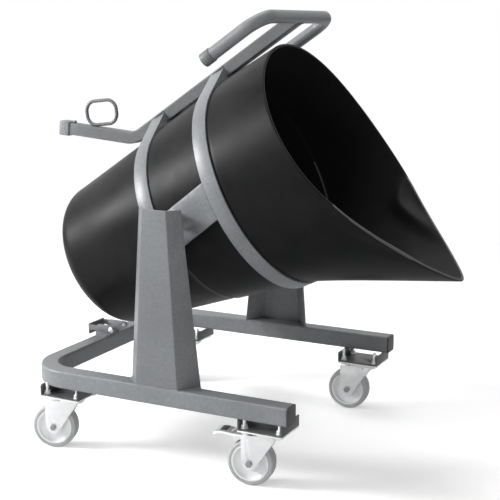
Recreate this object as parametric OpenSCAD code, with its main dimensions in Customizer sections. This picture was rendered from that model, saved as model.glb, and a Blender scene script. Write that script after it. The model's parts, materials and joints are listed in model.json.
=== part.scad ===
// Cement tipping cart: a U-shaped wheeled base with two pedestals, and a cradle
// that carries a tapered mixing barrel with a pouring lip and swings between them.
// +X is the pouring side, +Z is up, and the origin lies on the floor under the middle.

/* [Base frame] */
// Length of the base along X
base_len = 650; // [560:5:800]
// Side of the square tube of the base
tube = 40; // [36:1:46]
// Wall of every square tube
tube_wall = 2.5; // [2:0.5:4]
// Outer edge radius of the base tube
tube_edge = 5; // [3:0.5:7]
// Bend radius of the base tube on its centre line
base_bend_r = 85; // [70:5:110]
// Thickness of the head of a tube plug
plug_head = 4; // [2:0.5:6]
// Length of a plug inside its tube
plug_depth = 18; // [10:1:30]

/* [Pedestals] */
// Distance of the pedestals and the tilt axis from the rear face of the base
pivot_x = 350; // [330:5:400]
// Height of the tilt axis above the floor
pivot_z = 538; // [530:1:560]
// Height of the pedestal above the tilt axis
pedestal_over = 27; // [24:1:40]
// Width of the outer web at the rail
web_low = 101; // [90:1:120]
// Width of the outer web at its top
web_high = 57; // [52:1:70]
// Spread of each flange along X at the rail
flange_spread_low = 35; // [30:1:45]
// Spread of each flange along X at the top
flange_spread_high = 22; // [16:1:24]
// Sheet thickness of the pedestal
pedestal_t = 4; // [3:0.5:5]
// Outer radius of the bearing boss welded inside the pedestal
boss_r = 17; // [15.5:0.5:20]
// Gap between the two bearing faces and the barrel side of the rails
boss_proud = 4; // [2:0.5:6]

/* [Tilt bearing] */
// Radius of the pivot pin
pin_r = 10; // [8:0.5:12]
// Wall of the bearing bush
bush_wall = 3; // [2:0.5:4]
// Thickness of the bush flange
bush_flange_t = 2; // [1.5:0.5:3]
// Width of the bush flange beyond the bush
bush_flange_w = 4; // [2:0.5:5]
// Radius of the pin collar on the cradle
collar_r = 16; // [14:1:20]
// Length of the pin collar from the side plate to the bearing
collar_len = 35.7; // [25:0.1:60]
// Radial running clearance of pins and wheels
run_fit = 0.05; // [0.03:0.01:0.08]
// End float of turning parts
end_float = 0.3; // [0.2:0.05:0.4]

/* [Barrel] */
// Lean of the barrel axis above the floor at rest
barrel_lean = 26; // [22:1:30]
// Distance from the tilt axis forward to the middle of the front hoop
hoop_ahead = 119; // [110:1:130]
// Distance from the front hoop back to the rear hoop
hoop_pitch = 185; // [170:1:200]
// Outer radius of the barrel under the front edge of the front hoop
barrel_r = 240.5; // [230:0.5:244]
// Half angle of the lower cone
lower_taper = 7.75; // [6:0.25:9]
// Half angle of the upper cone
upper_taper = 4.6; // [3:0.2:6]
// Length of the barrel behind the middle of the front hoop
barrel_back = 485; // [440:5:500]
// Radius of the corner between wall and base
base_corner_r = 44; // [30:1:55]
// Width of the ring step over the rear hoop
rear_step = 2.5; // [1.5:0.5:4]
// Width of the ring step over the front hoop
front_step = 2; // [1:0.5:4]
// Length of each ring step
step_len = 3; // [2:0.5:6]
// Wall of the barrel
barrel_wall = 6; // [5:0.5:8]
// Distance of the rim from the front hoop at the top
rim_ahead = 172; // [150:2:200]
// Widening of the barrel from the front hoop to the rim
rim_flare = 14.5; // [10:0.5:20]

/* [Pouring lip] */
// Distance the lip tip stands out beyond the rest of the rim
lip_out = 106; // [70:2:124]
// Distance of the lip tip from the front hoop along the axis
lip_ahead = 331; // [300:1:345]
// Angle of the lip to each side of the underside
lip_half_angle = 53; // [44:1:60]
// Power of the curve by which the lip narrows towards its tip
lip_power = 2.1; // [1.8:0.1:2.6]
// Power of the curve by which the rim rises towards the lip
rim_power = 2.1; // [1.8:0.1:2.6]
// Depth of the pinch fold on each flank of the lip
pinch_depth = 13; // [4:1:18]
// Greatest distance of the pinch fold from the rim
pinch_below = 46; // [30:2:60]
// Half width of the pinch fold
pinch_w = 20; // [14:1:28]
// Angle from the underside where the pinch fold meets the rim
pinch_angle = 66; // [58:1:72]

/* [Cradle] */
// Width of the hoop straps along the barrel
strap_w = 35; // [28:1:40]
// Thickness of the hoop straps and side plates
strap_t = 5; // [4:0.5:6]
// Clearance between barrel and straps
strap_gap = 0.3; // [0.2:0.05:0.5]
// Width of the side plates
side_plate_w = 82; // [70:1:95]
// Drop of the side plates' middle below the barrel axis at the front hoop
plate_drop_front = 3; // [0:1:8]
// Drop of the side plates' middle below the barrel axis at the rear hoop
plate_drop_rear = 29.5; // [20:0.5:36]
// Thickness of the gussets between straps and spine
gusset_t = 4; // [3:0.5:5]
// Side of the square tube of the spine
spine = 28; // [25:1:32]
// Edge radius of the spine tube
spine_edge = 3; // [2:0.5:4]
// Angle of the spine above the floor
spine_angle = 33.9; // [32:0.1:35]
// Gap between the rear strap and the spine's underside
spine_over = 0.5; // [0.2:0.1:1.5]
// Length of the spine from the rear hoop to the handle crossbar
spine_len = 413; // [390:1:430]
// Length of the spine from the rear hoop back to its bend
spine_back = 62; // [50:1:80]
// Bend radius of the spine on its centre line
spine_bend_r = 66; // [50:1:80]
// Slope of the tail, down towards the barrel
tail_slope = 5; // [2:0.5:8]
// Straight length of the tail behind its bend
tail_len = 187; // [170:1:200]
// Side of the catch collar on the tail end
catch_w = 34; // [32:0.5:36]
// Length of the catch collar
catch_len = 25; // [18:1:32]
// Radius of the stop stud on the tail
stud_r = 4; // [3:0.5:5]
// Height of the stop stud
stud_h = 6; // [4:0.5:8]
// Distance of the stop stud from the tail end
stud_at = 33; // [30:1:40]

/* [Handles] */
// Outer diameter of the handle tube
handle_d = 28; // [25:1:30]
// Wall of the handle tube
handle_wall = 2; // [1.5:0.5:3]
// Distance between the centre lines of the handle legs
handle_w = 360; // [330:2:380]
// Bend radius of the handle on its centre line
handle_bend_r = 48; // [40:1:60]
// Length of the handle legs from the crossbar's centre line
handle_leg = 158; // [140:1:180]
// Wall of the end caps on the handle legs
cap_wall = 1.5; // [1:0.25:2.5]
// Length of the end caps on the handle legs
cap_len = 24; // [18:1:30]
// Length of the ring handle
ring_l = 92; // [80:1:100]
// Height of the ring handle
ring_h = 64; // [56:1:72]
// Diameter of the bar of the ring handle
ring_bar = 8; // [6:0.5:10]
// Corner radius of the ring handle on its centre line
ring_corner_r = 24; // [18:1:26]
// Rise of the ring handle's long side against the tail
ring_rise = 11.5; // [8:0.5:14]
// Distance of the ring handle's middle from the tail end
ring_at = 108; // [100:1:120]

/* [Castors] */
// Distance of the front castors from the front end of the rails
castor_front = 59; // [55:1:80]
// Distance of the rear castors from the rear face of the base
castor_rear = 98; // [90:1:120]
// Height of the castor with its plate
castor_h = 125; // [122:1:130]
// Radius of the wheels
wheel_r = 50; // [46:1:51]
// Width of the tyres
tyre_w = 32; // [26:1:34]
// Thickness of the tyres
tyre_t = 10; // [7:0.5:12]
// Width of the wheel hubs
hub_w = 36; // [34:0.5:38]
// Distance from the swivel axis back to the axle
trail = 35; // [30:1:38]
// Length of the castor plate along X
plate_l = 100; // [98:1:106]
// Width of the castor plate along Y
plate_w = 85; // [82:1:90]
// Thickness of the castor plate
plate_t = 3; // [2.5:0.5:4]
// Bolt pitch along X
bolt_pitch_x = 80; // [76:1:81]
// Bolt pitch along Y
bolt_pitch_y = 60; // [58:1:64]
// Radius of the castor bolts
bolt_r = 4; // [3:0.5:4.5]
// Width of a castor nut across its corners
nut_w = 14.6; // [13:0.1:16]
// Radius of the swivel raceway
race_r = 29; // [26:1:31]
// Height of the swivel raceway
race_h = 11; // [9:0.5:12]
// Radius of the kingpin
kingpin_r = 6; // [5:0.5:7]
// Sheet thickness of the fork
fork_t = 2.5; // [2:0.25:3]
// Radius of the axle sleeve
sleeve_r = 6; // [5:0.5:7]
// Trail direction of each castor: front right, front left, rear right, rear left
trail_dir = [188, 185, 198, 190];

/* [Castor brackets] */
// Height of the brackets between castor plate and rail
bracket_h = 23; // [20:1:26]
// Sheet thickness of the brackets
bracket_t = 3; // [2.5:0.5:4]

/* [Brake pedal] */
// Radius of the pedal's hinge pin
brake_pin_r = 3; // [2.5:0.25:3.5]
// Distance of the hinge pin behind the swivel axis
brake_pin_back = 43; // [40:0.5:46]
// Reach of the pedal tip behind the swivel axis
pedal_reach = 112; // [106:1:120]
// Thickness of the pedal
pedal_t = 3; // [2.5:0.25:4]
// Gap between the brake shoe and the tyre at rest
shoe_gap = 2.6; // [2.4:0.1:3]

/* [Catch on the rear crossbar] */
// Distance between the middles of the two cheeks
cheek_pitch = 51; // [48:0.5:54]
// Thickness of the cheeks
cheek_t = 4; // [3:0.5:4.5]
// Length of the cheeks along X
cheek_l = 64; // [56:1:68]
// Height of the cheeks
cheek_h = 28; // [25:1:30]
// Distance of the cheeks' rear edge from the rear face of the crossbar
cheek_at = 3; // [1:0.5:8]
// Distance of the bail rivets from the rear face of the crossbar
bail_x = 51; // [48:0.5:54]
// Height of the bail rivets above the crossbar
bail_z = 19; // [17:0.5:21]
// Radius of the bail rivets
rivet_r = 4; // [3:0.5:5]
// Height of the bail arms
bail_h = 13; // [11:0.5:15]
// Thickness of the bail
bail_t = 4; // [3:0.5:5]

/* [Hidden] */
$fn = 64;
smooth = 256;
rail_top = castor_h + bracket_h + tube;
rail_mid = rail_top - tube / 2;
castor_x = [base_len - castor_front, castor_rear];
pedestal_top = pivot_z + pedestal_over;
lean_c = cos(barrel_lean);
lean_s = sin(barrel_lean);
hoop_x = pivot_x + hoop_ahead * lean_c;
hoop_z = pivot_z + hoop_ahead * lean_s;

// Radii of the barrel that follow from its radius under the front hoop
rim_r = barrel_r + rim_flare;
lip_r = rim_r + lip_out;
around = 60;
wall_start = strap_w / 2 + step_len;
function upper_r(a) = barrel_r + front_step + (a - wall_start) * tan(upper_taper);
function lower_r(a) = barrel_r - (strap_w / 2 - a) * tan(lower_taper);

// Where the spine stands over the barrel axis, in the barrel's own frame
spine_dev = spine_angle - barrel_lean;
rear_hoop_a = -hoop_pitch;
barrel_under_rear = barrel_r - rear_step - hoop_pitch * tan(lower_taper);
front_strap_in = barrel_r + strap_gap;
rear_strap_in = barrel_under_rear + strap_gap;
front_strap_out = front_strap_in + strap_t;
rear_strap_out = rear_strap_in + strap_t;
spine_off = rear_strap_out + spine_over + spine / 2 / cos(spine_dev) + strap_w / 2 * tan(spine_dev);
tail_turn = spine_angle + tail_slope;

// The base is as wide as the cradle with its bearings needs
side_a0 = rear_hoop_a + strap_w / 2;
side_a1 = -strap_w / 2;
side_r0 = lower_r(side_a0 + step_len) + strap_gap;
side_slope = (front_strap_in - side_r0) / (side_a1 - side_a0);
side_out = side_r0 - (hoop_ahead + side_a0) * side_slope + strap_t;
collar_end = side_out + collar_len;
boss_end = collar_end + end_float + bush_flange_t;
base_w = 2 * ceil(100 * (boss_end + boss_proud + tube)) / 100;
rail_y = (base_w - tube) / 2;
castor_y = (base_w - plate_w) / 2;
flange_depth_high = tube * flange_spread_high / flange_spread_low;

// The model's reach along X, from which its middle is taken
tail_bend_x = hoop_x + rear_hoop_a * lean_c - spine_off * lean_s - spine_back * cos(spine_angle);
tail_start_x = tail_bend_x - spine_bend_r * (sin(spine_angle) + sin(tail_slope));
reach_rear = tail_start_x - tail_len * cos(tail_slope) - catch_w / 2 * sin(tail_slope);
reach_front = hoop_x + lip_ahead * lean_c + lip_r * lean_s;
origin_x = (reach_rear + reach_front) / 2;

// Barrel: rings of points, from the middle of the base out, up the wall and down inside
lip_round = 0.05;
pinch_low = 14;
pinch_power = 1.6;
outer_fold = 0.25;
function from_under(k) = abs((360 * k / around + 180) % 360 - 180);
function lip_share(p) = p >= lip_half_angle ? 0
    : pow(1 - (sqrt(pow(p / lip_half_angle, 2) + pow(lip_round, 2)) - lip_round), lip_power);
function rim_at(p) = rim_r + (lip_r - rim_r) * lip_share(p);
function rim_a(p) = rim_ahead + (lip_ahead - rim_ahead)
    * pow((rim_r + rim_at(p) * cos(p)) / (rim_r + lip_r), rim_power);
function wall_a(p, t) = wall_start + t * (rim_a(p) - wall_start);
function wall_r(p, t) = upper_r(wall_a(p, t)) + t * (rim_at(p) - upper_r(rim_a(p)));
function pinch_share(p) = p >= pinch_angle || p <= pinch_low ? 0
    : sin(180 * pow((p - pinch_low) / (pinch_angle - pinch_low), pinch_power));
function pinch(p, t) = pinch_depth * pinch_share(p)
    * exp(-pow((rim_a(p) - wall_a(p, t) - pinch_below * pinch_share(p)) / pinch_w, 2));
function ring(a, r) = [for (k = [0:around - 1])
    [a, r * sin(360 * k / around), -r * cos(360 * k / around)]];
function wall_ring(t, inset, fold) = [for (k = [0:around - 1])
    let (p = from_under(k), r = wall_r(p, t) - inset - fold * pinch(p, t))
    [wall_a(p, t), r * sin(360 * k / around), -r * cos(360 * k / around)]];
base_r = lower_r(base_corner_r - barrel_back) - rear_step;
corner_steps = 4;
function corner_ring(i, inset) = let (q = 90 * i / corner_steps, c = base_corner_r - inset)
    ring(base_corner_r - barrel_back - c * cos(q), base_r - base_corner_r + c * sin(q));
function low_rings(inset) = concat(
    [for (i = [0:corner_steps]) corner_ring(i, inset)],
    [ring(side_a0, lower_r(side_a0) - rear_step - inset),
     ring(side_a0 + step_len, lower_r(side_a0 + step_len) - inset),
     ring(strap_w / 2, barrel_r - inset)]);
wall_steps = [0, 0.25, 0.5, 0.65, 0.78, 0.86, 0.93, 1];
function wall_rings(inset, fold) = [for (t = wall_steps) wall_ring(t, inset, fold)];
function reversed(list) = [for (i = [len(list) - 1:-1:0]) list[i]];

// Frames of reference
module on_floor() { translate([-origin_x, 0, 0]) children(); }
module in_barrel() {
    on_floor() translate([pivot_x, 0, pivot_z]) rotate([0, -barrel_lean, 0])
        translate([hoop_ahead, 0, 0]) children();
}
module in_spine() {
    in_barrel() translate([rear_hoop_a, 0, spine_off]) rotate([0, -spine_dev, 0]) children();
}
module in_tail() {
    in_spine() translate([-spine_back, 0, spine_bend_r]) rotate([0, tail_turn, 0])
        translate([0, 0, -spine_bend_r]) children();
}
module at_castor(i) {
    on_floor() translate([castor_x[i < 2 ? 0 : 1], i % 2 == 0 ? -castor_y : castor_y, 0]) children();
}
module in_castor(i) { at_castor(i) rotate([0, 0, trail_dir[i] - 180]) children(); }
module both_sides() {
    children();
    mirror([0, 1, 0]) children();
}

// Shared shapes
module rounded_square(w, r) {
    square([w - 2 * r, w], center = true);
    square([w, w - 2 * r], center = true);
    for (sx = [-1, 1], sy = [-1, 1]) translate([sx * (w / 2 - r), sy * (w / 2 - r)]) circle(r);
}
module along_x(x0, x1) { translate([x0, 0, 0]) rotate([90, 0, 90]) linear_extrude(x1 - x0) children(); }
module along_y(y0, y1) { translate([0, y1, 0]) rotate([90, 0, 0]) linear_extrude(y1 - y0) children(); }
module rod_y(r, y0, y1) { translate([0, y0, 0]) rotate([-90, 0, 0]) cylinder(r = r, h = y1 - y0); }
module hex_y(w, y0, y1) { translate([0, y0, 0]) rotate([-90, 0, 0]) cylinder(d = w, h = y1 - y0, $fn = 6); }
module loft(rings, cap = []) {
    n = len(rings[0]);
    ends = len(cap) > 0 ? cap : [[for (k = [0:n - 1]) k]];
    points = [for (r = rings) each r];
    sides = [for (j = [0:len(rings) - 2], k = [0:n - 1]) each
        [[j * n + k, j * n + (k + 1) % n, (j + 1) * n + (k + 1) % n],
         [j * n + k, (j + 1) * n + (k + 1) % n, (j + 1) * n + k]]];
    caps = [for (face = ends) each [reversed(face), [for (k = face) (len(rings) - 1) * n + k]]];
    polyhedron(points, concat(sides, caps));
}

// Base
module base_path(w, r) {
    for (s = [-1, 1])
        translate([0, s * rail_y, rail_mid]) along_x(base_bend_r + tube / 2, base_len) rounded_square(w, r);
    translate([tube / 2, 0, rail_mid]) along_y(base_bend_r - rail_y, rail_y - base_bend_r)
        rounded_square(w, r);
    both_sides() translate([base_bend_r + tube / 2, base_bend_r - rail_y, rail_mid])
        rotate([0, 0, 180]) rotate_extrude(angle = 90) translate([base_bend_r, 0]) rounded_square(w, r);
}
module base_frame() {
    color("dimgray") on_floor() difference() {
        base_path(tube, tube_edge);
        base_path(tube - 2 * tube_wall, tube_edge - tube_wall);
    }
}
module rail_plugs() {
    color("black") on_floor() for (s = [-1, 1]) translate([0, s * rail_y, rail_mid]) {
        along_x(base_len, base_len + plug_head) rounded_square(tube, tube_edge);
        along_x(base_len - plug_depth, base_len)
            rounded_square(tube - 2 * tube_wall, tube_edge - tube_wall);
    }
}

// Pedestals: a sheet folded into a tapering open channel, its web outside
function pedestal_section(web, spread, depth, z) =
    let (out = base_w / 2, t = pedestal_t, fold = t * tan(atan2(depth, spread) / 2),
         bevel = t * [depth, -spread] / norm([depth, spread]))
    [[-web / 2, -out, z], [web / 2, -out, z], [web / 2 + spread, depth - out, z],
     [web / 2 + spread - bevel[0], depth - out - bevel[1], z],
     [web / 2 - fold, t - out, z], [fold - web / 2, t - out, z],
     [bevel[0] - spread - web / 2, depth - out - bevel[1], z], [-web / 2 - spread, depth - out, z]];
pedestal_cap = [[0, 1, 4, 5], [1, 2, 3, 4], [7, 0, 5, 6]];
module pedestal() {
    translate([pivot_x, 0, 0]) loft([
        pedestal_section(web_low, flange_spread_low, tube, rail_top),
        pedestal_section(web_high, flange_spread_high, flange_depth_high, pedestal_top)], pedestal_cap);
}
module pedestal_right() { color("gray") on_floor() pedestal(); }
module pedestal_left() { color("gray") on_floor() mirror([0, 1, 0]) pedestal(); }

// Tilt bearing, from the pedestal inwards: boss, flanged bush, pin with its collar
bush_r = pin_r + run_fit + bush_wall;
web_in = base_w / 2 - pedestal_t;
module at_pivot() { on_floor() translate([pivot_x, 0, pivot_z]) children(); }
module pivot_bosses() {
    color("gray") at_pivot() both_sides() difference() {
        rod_y(boss_r, -web_in, -boss_end);
        rod_y(bush_r, -web_in, -boss_end);
    }
}
module pivot_bushes() {
    color("goldenrod") at_pivot() both_sides() difference() {
        union() {
            rod_y(bush_r, -web_in, -boss_end);
            rod_y(bush_r + bush_flange_w, -boss_end, bush_flange_t - boss_end);
        }
        rod_y(pin_r + run_fit, -base_w / 2, -collar_end);
    }
}
pin_end_gap = 3;
module pivot_pins() {
    color("silver") at_pivot() both_sides() {
        rod_y(pin_r, pin_end_gap - web_in, -collar_end);
    }
    color("gray") both_sides() difference() {
        at_pivot() rod_y(collar_r, -collar_end, -collar_end / 2);
        in_barrel() side_cone(strap_t);
    }
}

// Cradle hoops: straps round the barrel that rise to the sides of the spine
function spine_mid(a) = spine_off + (a - rear_hoop_a) * tan(spine_dev);
function strap_top(a) = spine_mid(a - strap_w / 2) + spine / 2 / cos(spine_dev) - spine_edge;
function lift_angle(r, top) = atan2(top, spine / 2) - acos(r / norm([spine / 2, top]));
function line_top(r, g) = r * sin(g) + (r * cos(g) - spine / 2) / sin(g) * cos(g);
module strap_outline(r, g) {
    circle(r);
    polygon([[0, 0], [r * cos(g), r * sin(g)], [spine / 2, line_top(r, g)],
        [-spine / 2, line_top(r, g)], [-r * cos(g), r * sin(g)]]);
}
module strap_section(r, top) {
    g = lift_angle(r + strap_t, top);
    difference() {
        strap_outline(r + strap_t, g);
        strap_outline(r, g);
        translate([-spine / 2, 0]) square([spine, top + strap_t]);
    }
}
gusset_reach = 0.8;
module gusset_section(r, top) {
    g = lift_angle(r + strap_t, top);
    y_out = gusset_reach * r * cos(g);
    top_out = r * sin(g) + (r * cos(g) - y_out) / sin(g) * cos(g);
    both_ways() difference() {
        polygon([[spine / 2, line_top(r, g)], [y_out, top_out], [y_out, r / 2], [spine / 2, r / 2]]);
        circle(r, $fn = smooth);
    }
}
module both_ways() {
    children();
    mirror([1, 0]) children();
}
module hoop_front() {
    color("gray") in_barrel() along_x(-strap_w / 2, strap_w / 2)
        strap_section(front_strap_in, strap_top(0));
}
module hoop_rear() {
    color("gray") in_barrel() along_x(rear_hoop_a - strap_w / 2, rear_hoop_a + strap_w / 2) difference() {
        strap_section(rear_strap_in, strap_top(rear_hoop_a));
        translate([0, rear_cut - barrel_r]) square([4 * barrel_r, 2 * barrel_r], center = true);
    }
}
rear_cut = -plate_drop_rear - side_plate_w / 2;
module hoop_gussets() {
    color("dimgray") in_barrel() {
        along_x(strap_w / 2 - gusset_t, strap_w / 2) gusset_section(front_strap_in, strap_top(0));
        along_x(rear_hoop_a + strap_w / 2 - gusset_t, rear_hoop_a + strap_w / 2)
            gusset_section(rear_strap_in, strap_top(rear_hoop_a));
    }
}

// Side plates: strips of a cone between the hoops, parallel to the spine
module side_cone(over) {
    rotate([90, 0, 90]) rotate_extrude()
        polygon([[0, side_a0], [side_r0 + over, side_a0], [front_strap_in + over, side_a1], [0, side_a1]]);
}
module side_plate() {
    w = side_plate_w / 2;
    intersection() {
        difference() {
            side_cone(strap_t);
            side_cone(0);
        }
        along_y(-2 * barrel_r, 0) polygon([[side_a0, -plate_drop_rear - w], [side_a1, -plate_drop_front - w],
            [side_a1, w - plate_drop_front], [side_a0, w - plate_drop_rear]]);
    }
}
module side_plate_right() { color("gray") in_barrel() side_plate(); }
module side_plate_left() { color("gray") mirror([0, 1, 0]) in_barrel() side_plate(); }

// Spine with its bent tail
module spine_straight(w, r) {
    in_spine() along_x(-spine_back, spine_len - handle_d / 4) rounded_square(w, r);
}
module spine_tube() {
    color("gray") difference() {
        spine_straight(spine, spine_edge);
        spine_straight(spine - 2 * tube_wall, spine_edge - tube_wall);
        in_spine() translate([spine_len, 0, 0]) rod_y(handle_d / 2, -spine, spine);
    }
}
module tail_path(w, r) {
    in_spine() translate([-spine_back, 0, spine_bend_r]) rotate([90, 0, 0])
        rotate([0, 0, -90 - tail_turn]) rotate_extrude(angle = tail_turn)
        translate([spine_bend_r, 0]) rounded_square(w, r);
    in_tail() along_x(-tail_len, 0) rounded_square(w, r);
}
module tail_tube() {
    color("gray") difference() {
        tail_path(spine, spine_edge);
        tail_path(spine - 2 * tube_wall, spine_edge - tube_wall);
    }
}
module tail_catch() {
    color("gray") in_tail() {
        difference() {
            along_x(-tail_len, catch_len - tail_len) rounded_square(catch_w, spine_edge);
            along_x(-tail_len, catch_len - tail_len) rounded_square(spine, spine_edge);
        }
        translate([stud_at - tail_len, 0, spine / 2]) cylinder(r = stud_r, h = stud_h);
    }
}

// Handles
module ring_path() {
    l = ring_l / 2 - ring_bar / 2 - ring_corner_r;
    h = ring_h / 2 - ring_bar / 2 - ring_corner_r;
    for (s = [-1, 1]) {
        translate([-l, 0, s * (h + ring_corner_r)]) rotate([0, 90, 0]) cylinder(d = ring_bar, h = 2 * l);
        translate([s * (l + ring_corner_r), 0, -h]) cylinder(d = ring_bar, h = 2 * h);
    }
    for (q = [0:3]) rotate([90, 0, 0])
        translate([(q == 0 || q == 3 ? l : -l), (q < 2 ? h : -h), 0])
        rotate([0, 0, 90 * q]) rotate_extrude(angle = 90) translate([ring_corner_r, 0]) circle(d = ring_bar);
}
ring_seat = 0.8;
ring_lift = ring_corner_r + ring_bar / 2 + (ring_h / 2 - ring_bar / 2 - ring_corner_r) * cos(ring_rise)
    + (ring_l / 2 - ring_bar / 2 - ring_corner_r) * sin(ring_rise) - ring_seat;
module ring_handle() {
    color("dimgray") in_tail() difference() {
        translate([ring_at - tail_len, 0, spine / 2 + ring_lift]) rotate([0, -ring_rise, 0]) ring_path();
        along_x(-tail_len, 0) square(spine, center = true);
    }
}
module handle_path(d) {
    leg_y = handle_w / 2;
    translate([spine_len, 0, 0]) {
        rod_y(d / 2, handle_bend_r - leg_y, leg_y - handle_bend_r);
        both_sides() {
            translate([-handle_bend_r, handle_bend_r - leg_y, 0]) rotate([0, 0, -90])
                rotate_extrude(angle = 90) translate([handle_bend_r, 0]) circle(d = d);
            translate([-handle_leg, -leg_y, 0]) rotate([0, 90, 0])
                cylinder(d = d, h = handle_leg - handle_bend_r);
        }
    }
}
module handle_tube() {
    color("gray") in_spine() difference() {
        handle_path(handle_d);
        handle_path(handle_d - 2 * handle_wall);
    }
}
module handle_caps() {
    color("dimgray") in_spine() both_sides()
        translate([spine_len - handle_leg - cap_wall, -handle_w / 2, 0]) rotate([0, 90, 0]) difference() {
            cylinder(d = handle_d + 2 * cap_wall, h = cap_len);
            translate([0, 0, cap_wall]) cylinder(d = handle_d, h = cap_len);
        }
}

// Barrel with its pinched pouring lip
module barrel() {
    color("#1c1c1c") in_barrel() loft(concat(
        low_rings(0), wall_rings(0, outer_fold),
        reversed(wall_rings(barrel_wall, 1)), reversed(low_rings(barrel_wall))));
}

// Castors
fork_in = hub_w / 2 + end_float;
race_z = castor_h - plate_t - race_h;
module bolt_places() {
    for (sx = [-1, 1], sy = [-1, 1]) translate([sx * bolt_pitch_x / 2, sy * bolt_pitch_y / 2, 0]) children();
}
hole_play = 0.4;
module bracket() {
    difference() {
        translate([-plate_l / 2, -plate_w / 2, castor_h]) cube([plate_l, plate_w, bracket_t]);
        bolt_places() translate([0, 0, castor_h]) cylinder(r = bolt_r + hole_play, h = bracket_t);
    }
    for (x = [-plate_l / 2, plate_l / 2 - bracket_t])
        translate([x, -plate_w / 2, castor_h + bracket_t]) cube([bracket_t, plate_w, bracket_h - bracket_t]);
}
module castor_bracket(i) { color("dimgray") at_castor(i) bracket(); }
kingpin_head = 4;
kingpin_flange = 3;
race_draft = 2;
crown_t = 4;
crown_z = race_z - end_float / 2 - crown_t;
module castor_plate(i) {
    color("silver") at_castor(i) {
        difference() {
            translate([-plate_l / 2, -plate_w / 2, castor_h - plate_t]) cube([plate_l, plate_w, plate_t]);
            bolt_places() translate([0, 0, castor_h - plate_t]) cylinder(r = bolt_r + hole_play, h = plate_t);
        }
        translate([0, 0, race_z]) cylinder(r1 = race_r - race_draft, r2 = race_r, h = race_h);
        translate([0, 0, crown_z - end_float / 2]) cylinder(r = kingpin_r, h = race_z - crown_z + end_float);
        translate([0, 0, crown_z - end_float / 2 - kingpin_head])
            cylinder(r = kingpin_r + kingpin_flange, h = kingpin_head);
    }
}
bolt_head_t = 5;
bolt_tail = 13;
nut_t = 6.5;
hex_turn = 30;
module castor_bolts() {
    color("silver") for (i = [0:3]) at_castor(i) bolt_places() rotate([0, 0, hex_turn]) {
        translate([0, 0, castor_h - plate_t - bolt_head_t]) cylinder(d = nut_w, h = bolt_head_t, $fn = 6);
        translate([0, 0, castor_h - plate_t]) cylinder(r = bolt_r, h = plate_t + bracket_t + bolt_tail);
    }
}
module castor_nuts() {
    color("silver") for (i = [0:3]) at_castor(i) bolt_places()
        translate([0, 0, castor_h + bracket_t]) rotate([0, 0, hex_turn]) difference() {
            cylinder(d = nut_w, h = nut_t, $fn = 6);
            cylinder(r = bolt_r, h = nut_t);
        }
}

// Fork: a crown under the raceway and two legs that lean back to the axle
leg_foot_r = 15;
leg_rear = 18;
leg_front = 19;
leg_foot_q = 37;
brake_ear = 3;
module leg_outline() {
    difference() {
        union() {
            translate([-trail, wheel_r]) circle(leg_foot_r);
            polygon([[-trail - leg_rear, wheel_r + leg_foot_r], [-trail - leg_foot_r, wheel_r],
                [-trail, wheel_r - leg_foot_r], [leg_foot_r * cos(leg_foot_q) - trail, wheel_r - leg_foot_r * sin(leg_foot_q)],
                [leg_front, crown_z - crown_t], [leg_front, crown_z + crown_t],
                [-trail - leg_rear, crown_z + crown_t]]);
        }
        translate([-trail, wheel_r]) circle(bolt_r);
    }
}
module fork(braked) {
    difference() {
        union() {
            intersection() {
                translate([0, 0, crown_z]) cylinder(r = race_r + fork_t, h = crown_t);
                translate([-2 * race_r, -fork_in, 0]) cube([4 * race_r, 2 * fork_in, castor_h]);
            }
            both_sides() along_y(-fork_in - fork_t, -fork_in) leg_outline();
            if (braked) both_sides() translate([-brake_pin_back, 0, brake_pin_z])
                rod_y(brake_pin_r + brake_ear, -fork_in - fork_t, -fork_in);
        }
        translate([0, 0, crown_z]) cylinder(r = kingpin_r + run_fit, h = crown_t);
        if (braked) translate([-brake_pin_back, 0, brake_pin_z])
            rod_y(brake_pin_r, -fork_in - fork_t, fork_in + fork_t);
    }
}
module castor_fork(i) { color("gainsboro") in_castor(i) fork(i == 0); }
axle_head = 5;
axle_tail = 2;
module axle(i) {
    color("silver") in_castor(i) translate([-trail, 0, wheel_r]) {
        rod_y(bolt_r, -fork_in - fork_t - axle_head, fork_in + fork_t + axle_head + axle_tail);
        rod_y(sleeve_r, -fork_in, fork_in);
        hex_y(nut_w, -fork_in - fork_t - axle_head, -fork_in - fork_t);
        hex_y(nut_w, fork_in + fork_t, fork_in + fork_t + axle_head);
    }
}
hub_rim_r = wheel_r - tyre_t;
hub_core_r = 13;
hub_rim_t = 5;
hub_web = 8;
hub_draft = 3;
module hub(i) {
    color("whitesmoke") in_castor(i) translate([-trail, 0, wheel_r]) rotate([90, 0, 0])
        rotate_extrude() polygon([[sleeve_r + run_fit, -hub_w / 2], [hub_core_r, -hub_w / 2],
            [hub_core_r + hub_draft, -hub_web / 2], [hub_rim_r - hub_rim_t, -hub_web / 2],
            [hub_rim_r - hub_rim_t / 2, -tyre_w / 2], [hub_rim_r, -tyre_w / 2],
            [hub_rim_r, tyre_w / 2], [hub_rim_r - hub_rim_t / 2, tyre_w / 2],
            [hub_rim_r - hub_rim_t, hub_web / 2], [hub_core_r + hub_draft, hub_web / 2],
            [hub_core_r, hub_w / 2], [sleeve_r + run_fit, hub_w / 2]]);
}
tyre_shoulder = 5;
module tyre(i) {
    color("lightgray") in_castor(i) translate([-trail, 0, wheel_r]) rotate([90, 0, 0])
        rotate_extrude() difference() {
            union() {
                translate([hub_rim_r, -tyre_w / 2]) square([tyre_t - tyre_shoulder, tyre_w]);
                translate([hub_rim_r, tyre_shoulder - tyre_w / 2]) square([tyre_t, tyre_w - 2 * tyre_shoulder]);
                for (s = [-1, 1]) translate([wheel_r - tyre_shoulder, s * (tyre_w / 2 - tyre_shoulder)])
                    circle(tyre_shoulder);
            }
            translate([0, -tyre_w]) square([hub_rim_r, 2 * tyre_w]);
        }
}

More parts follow.
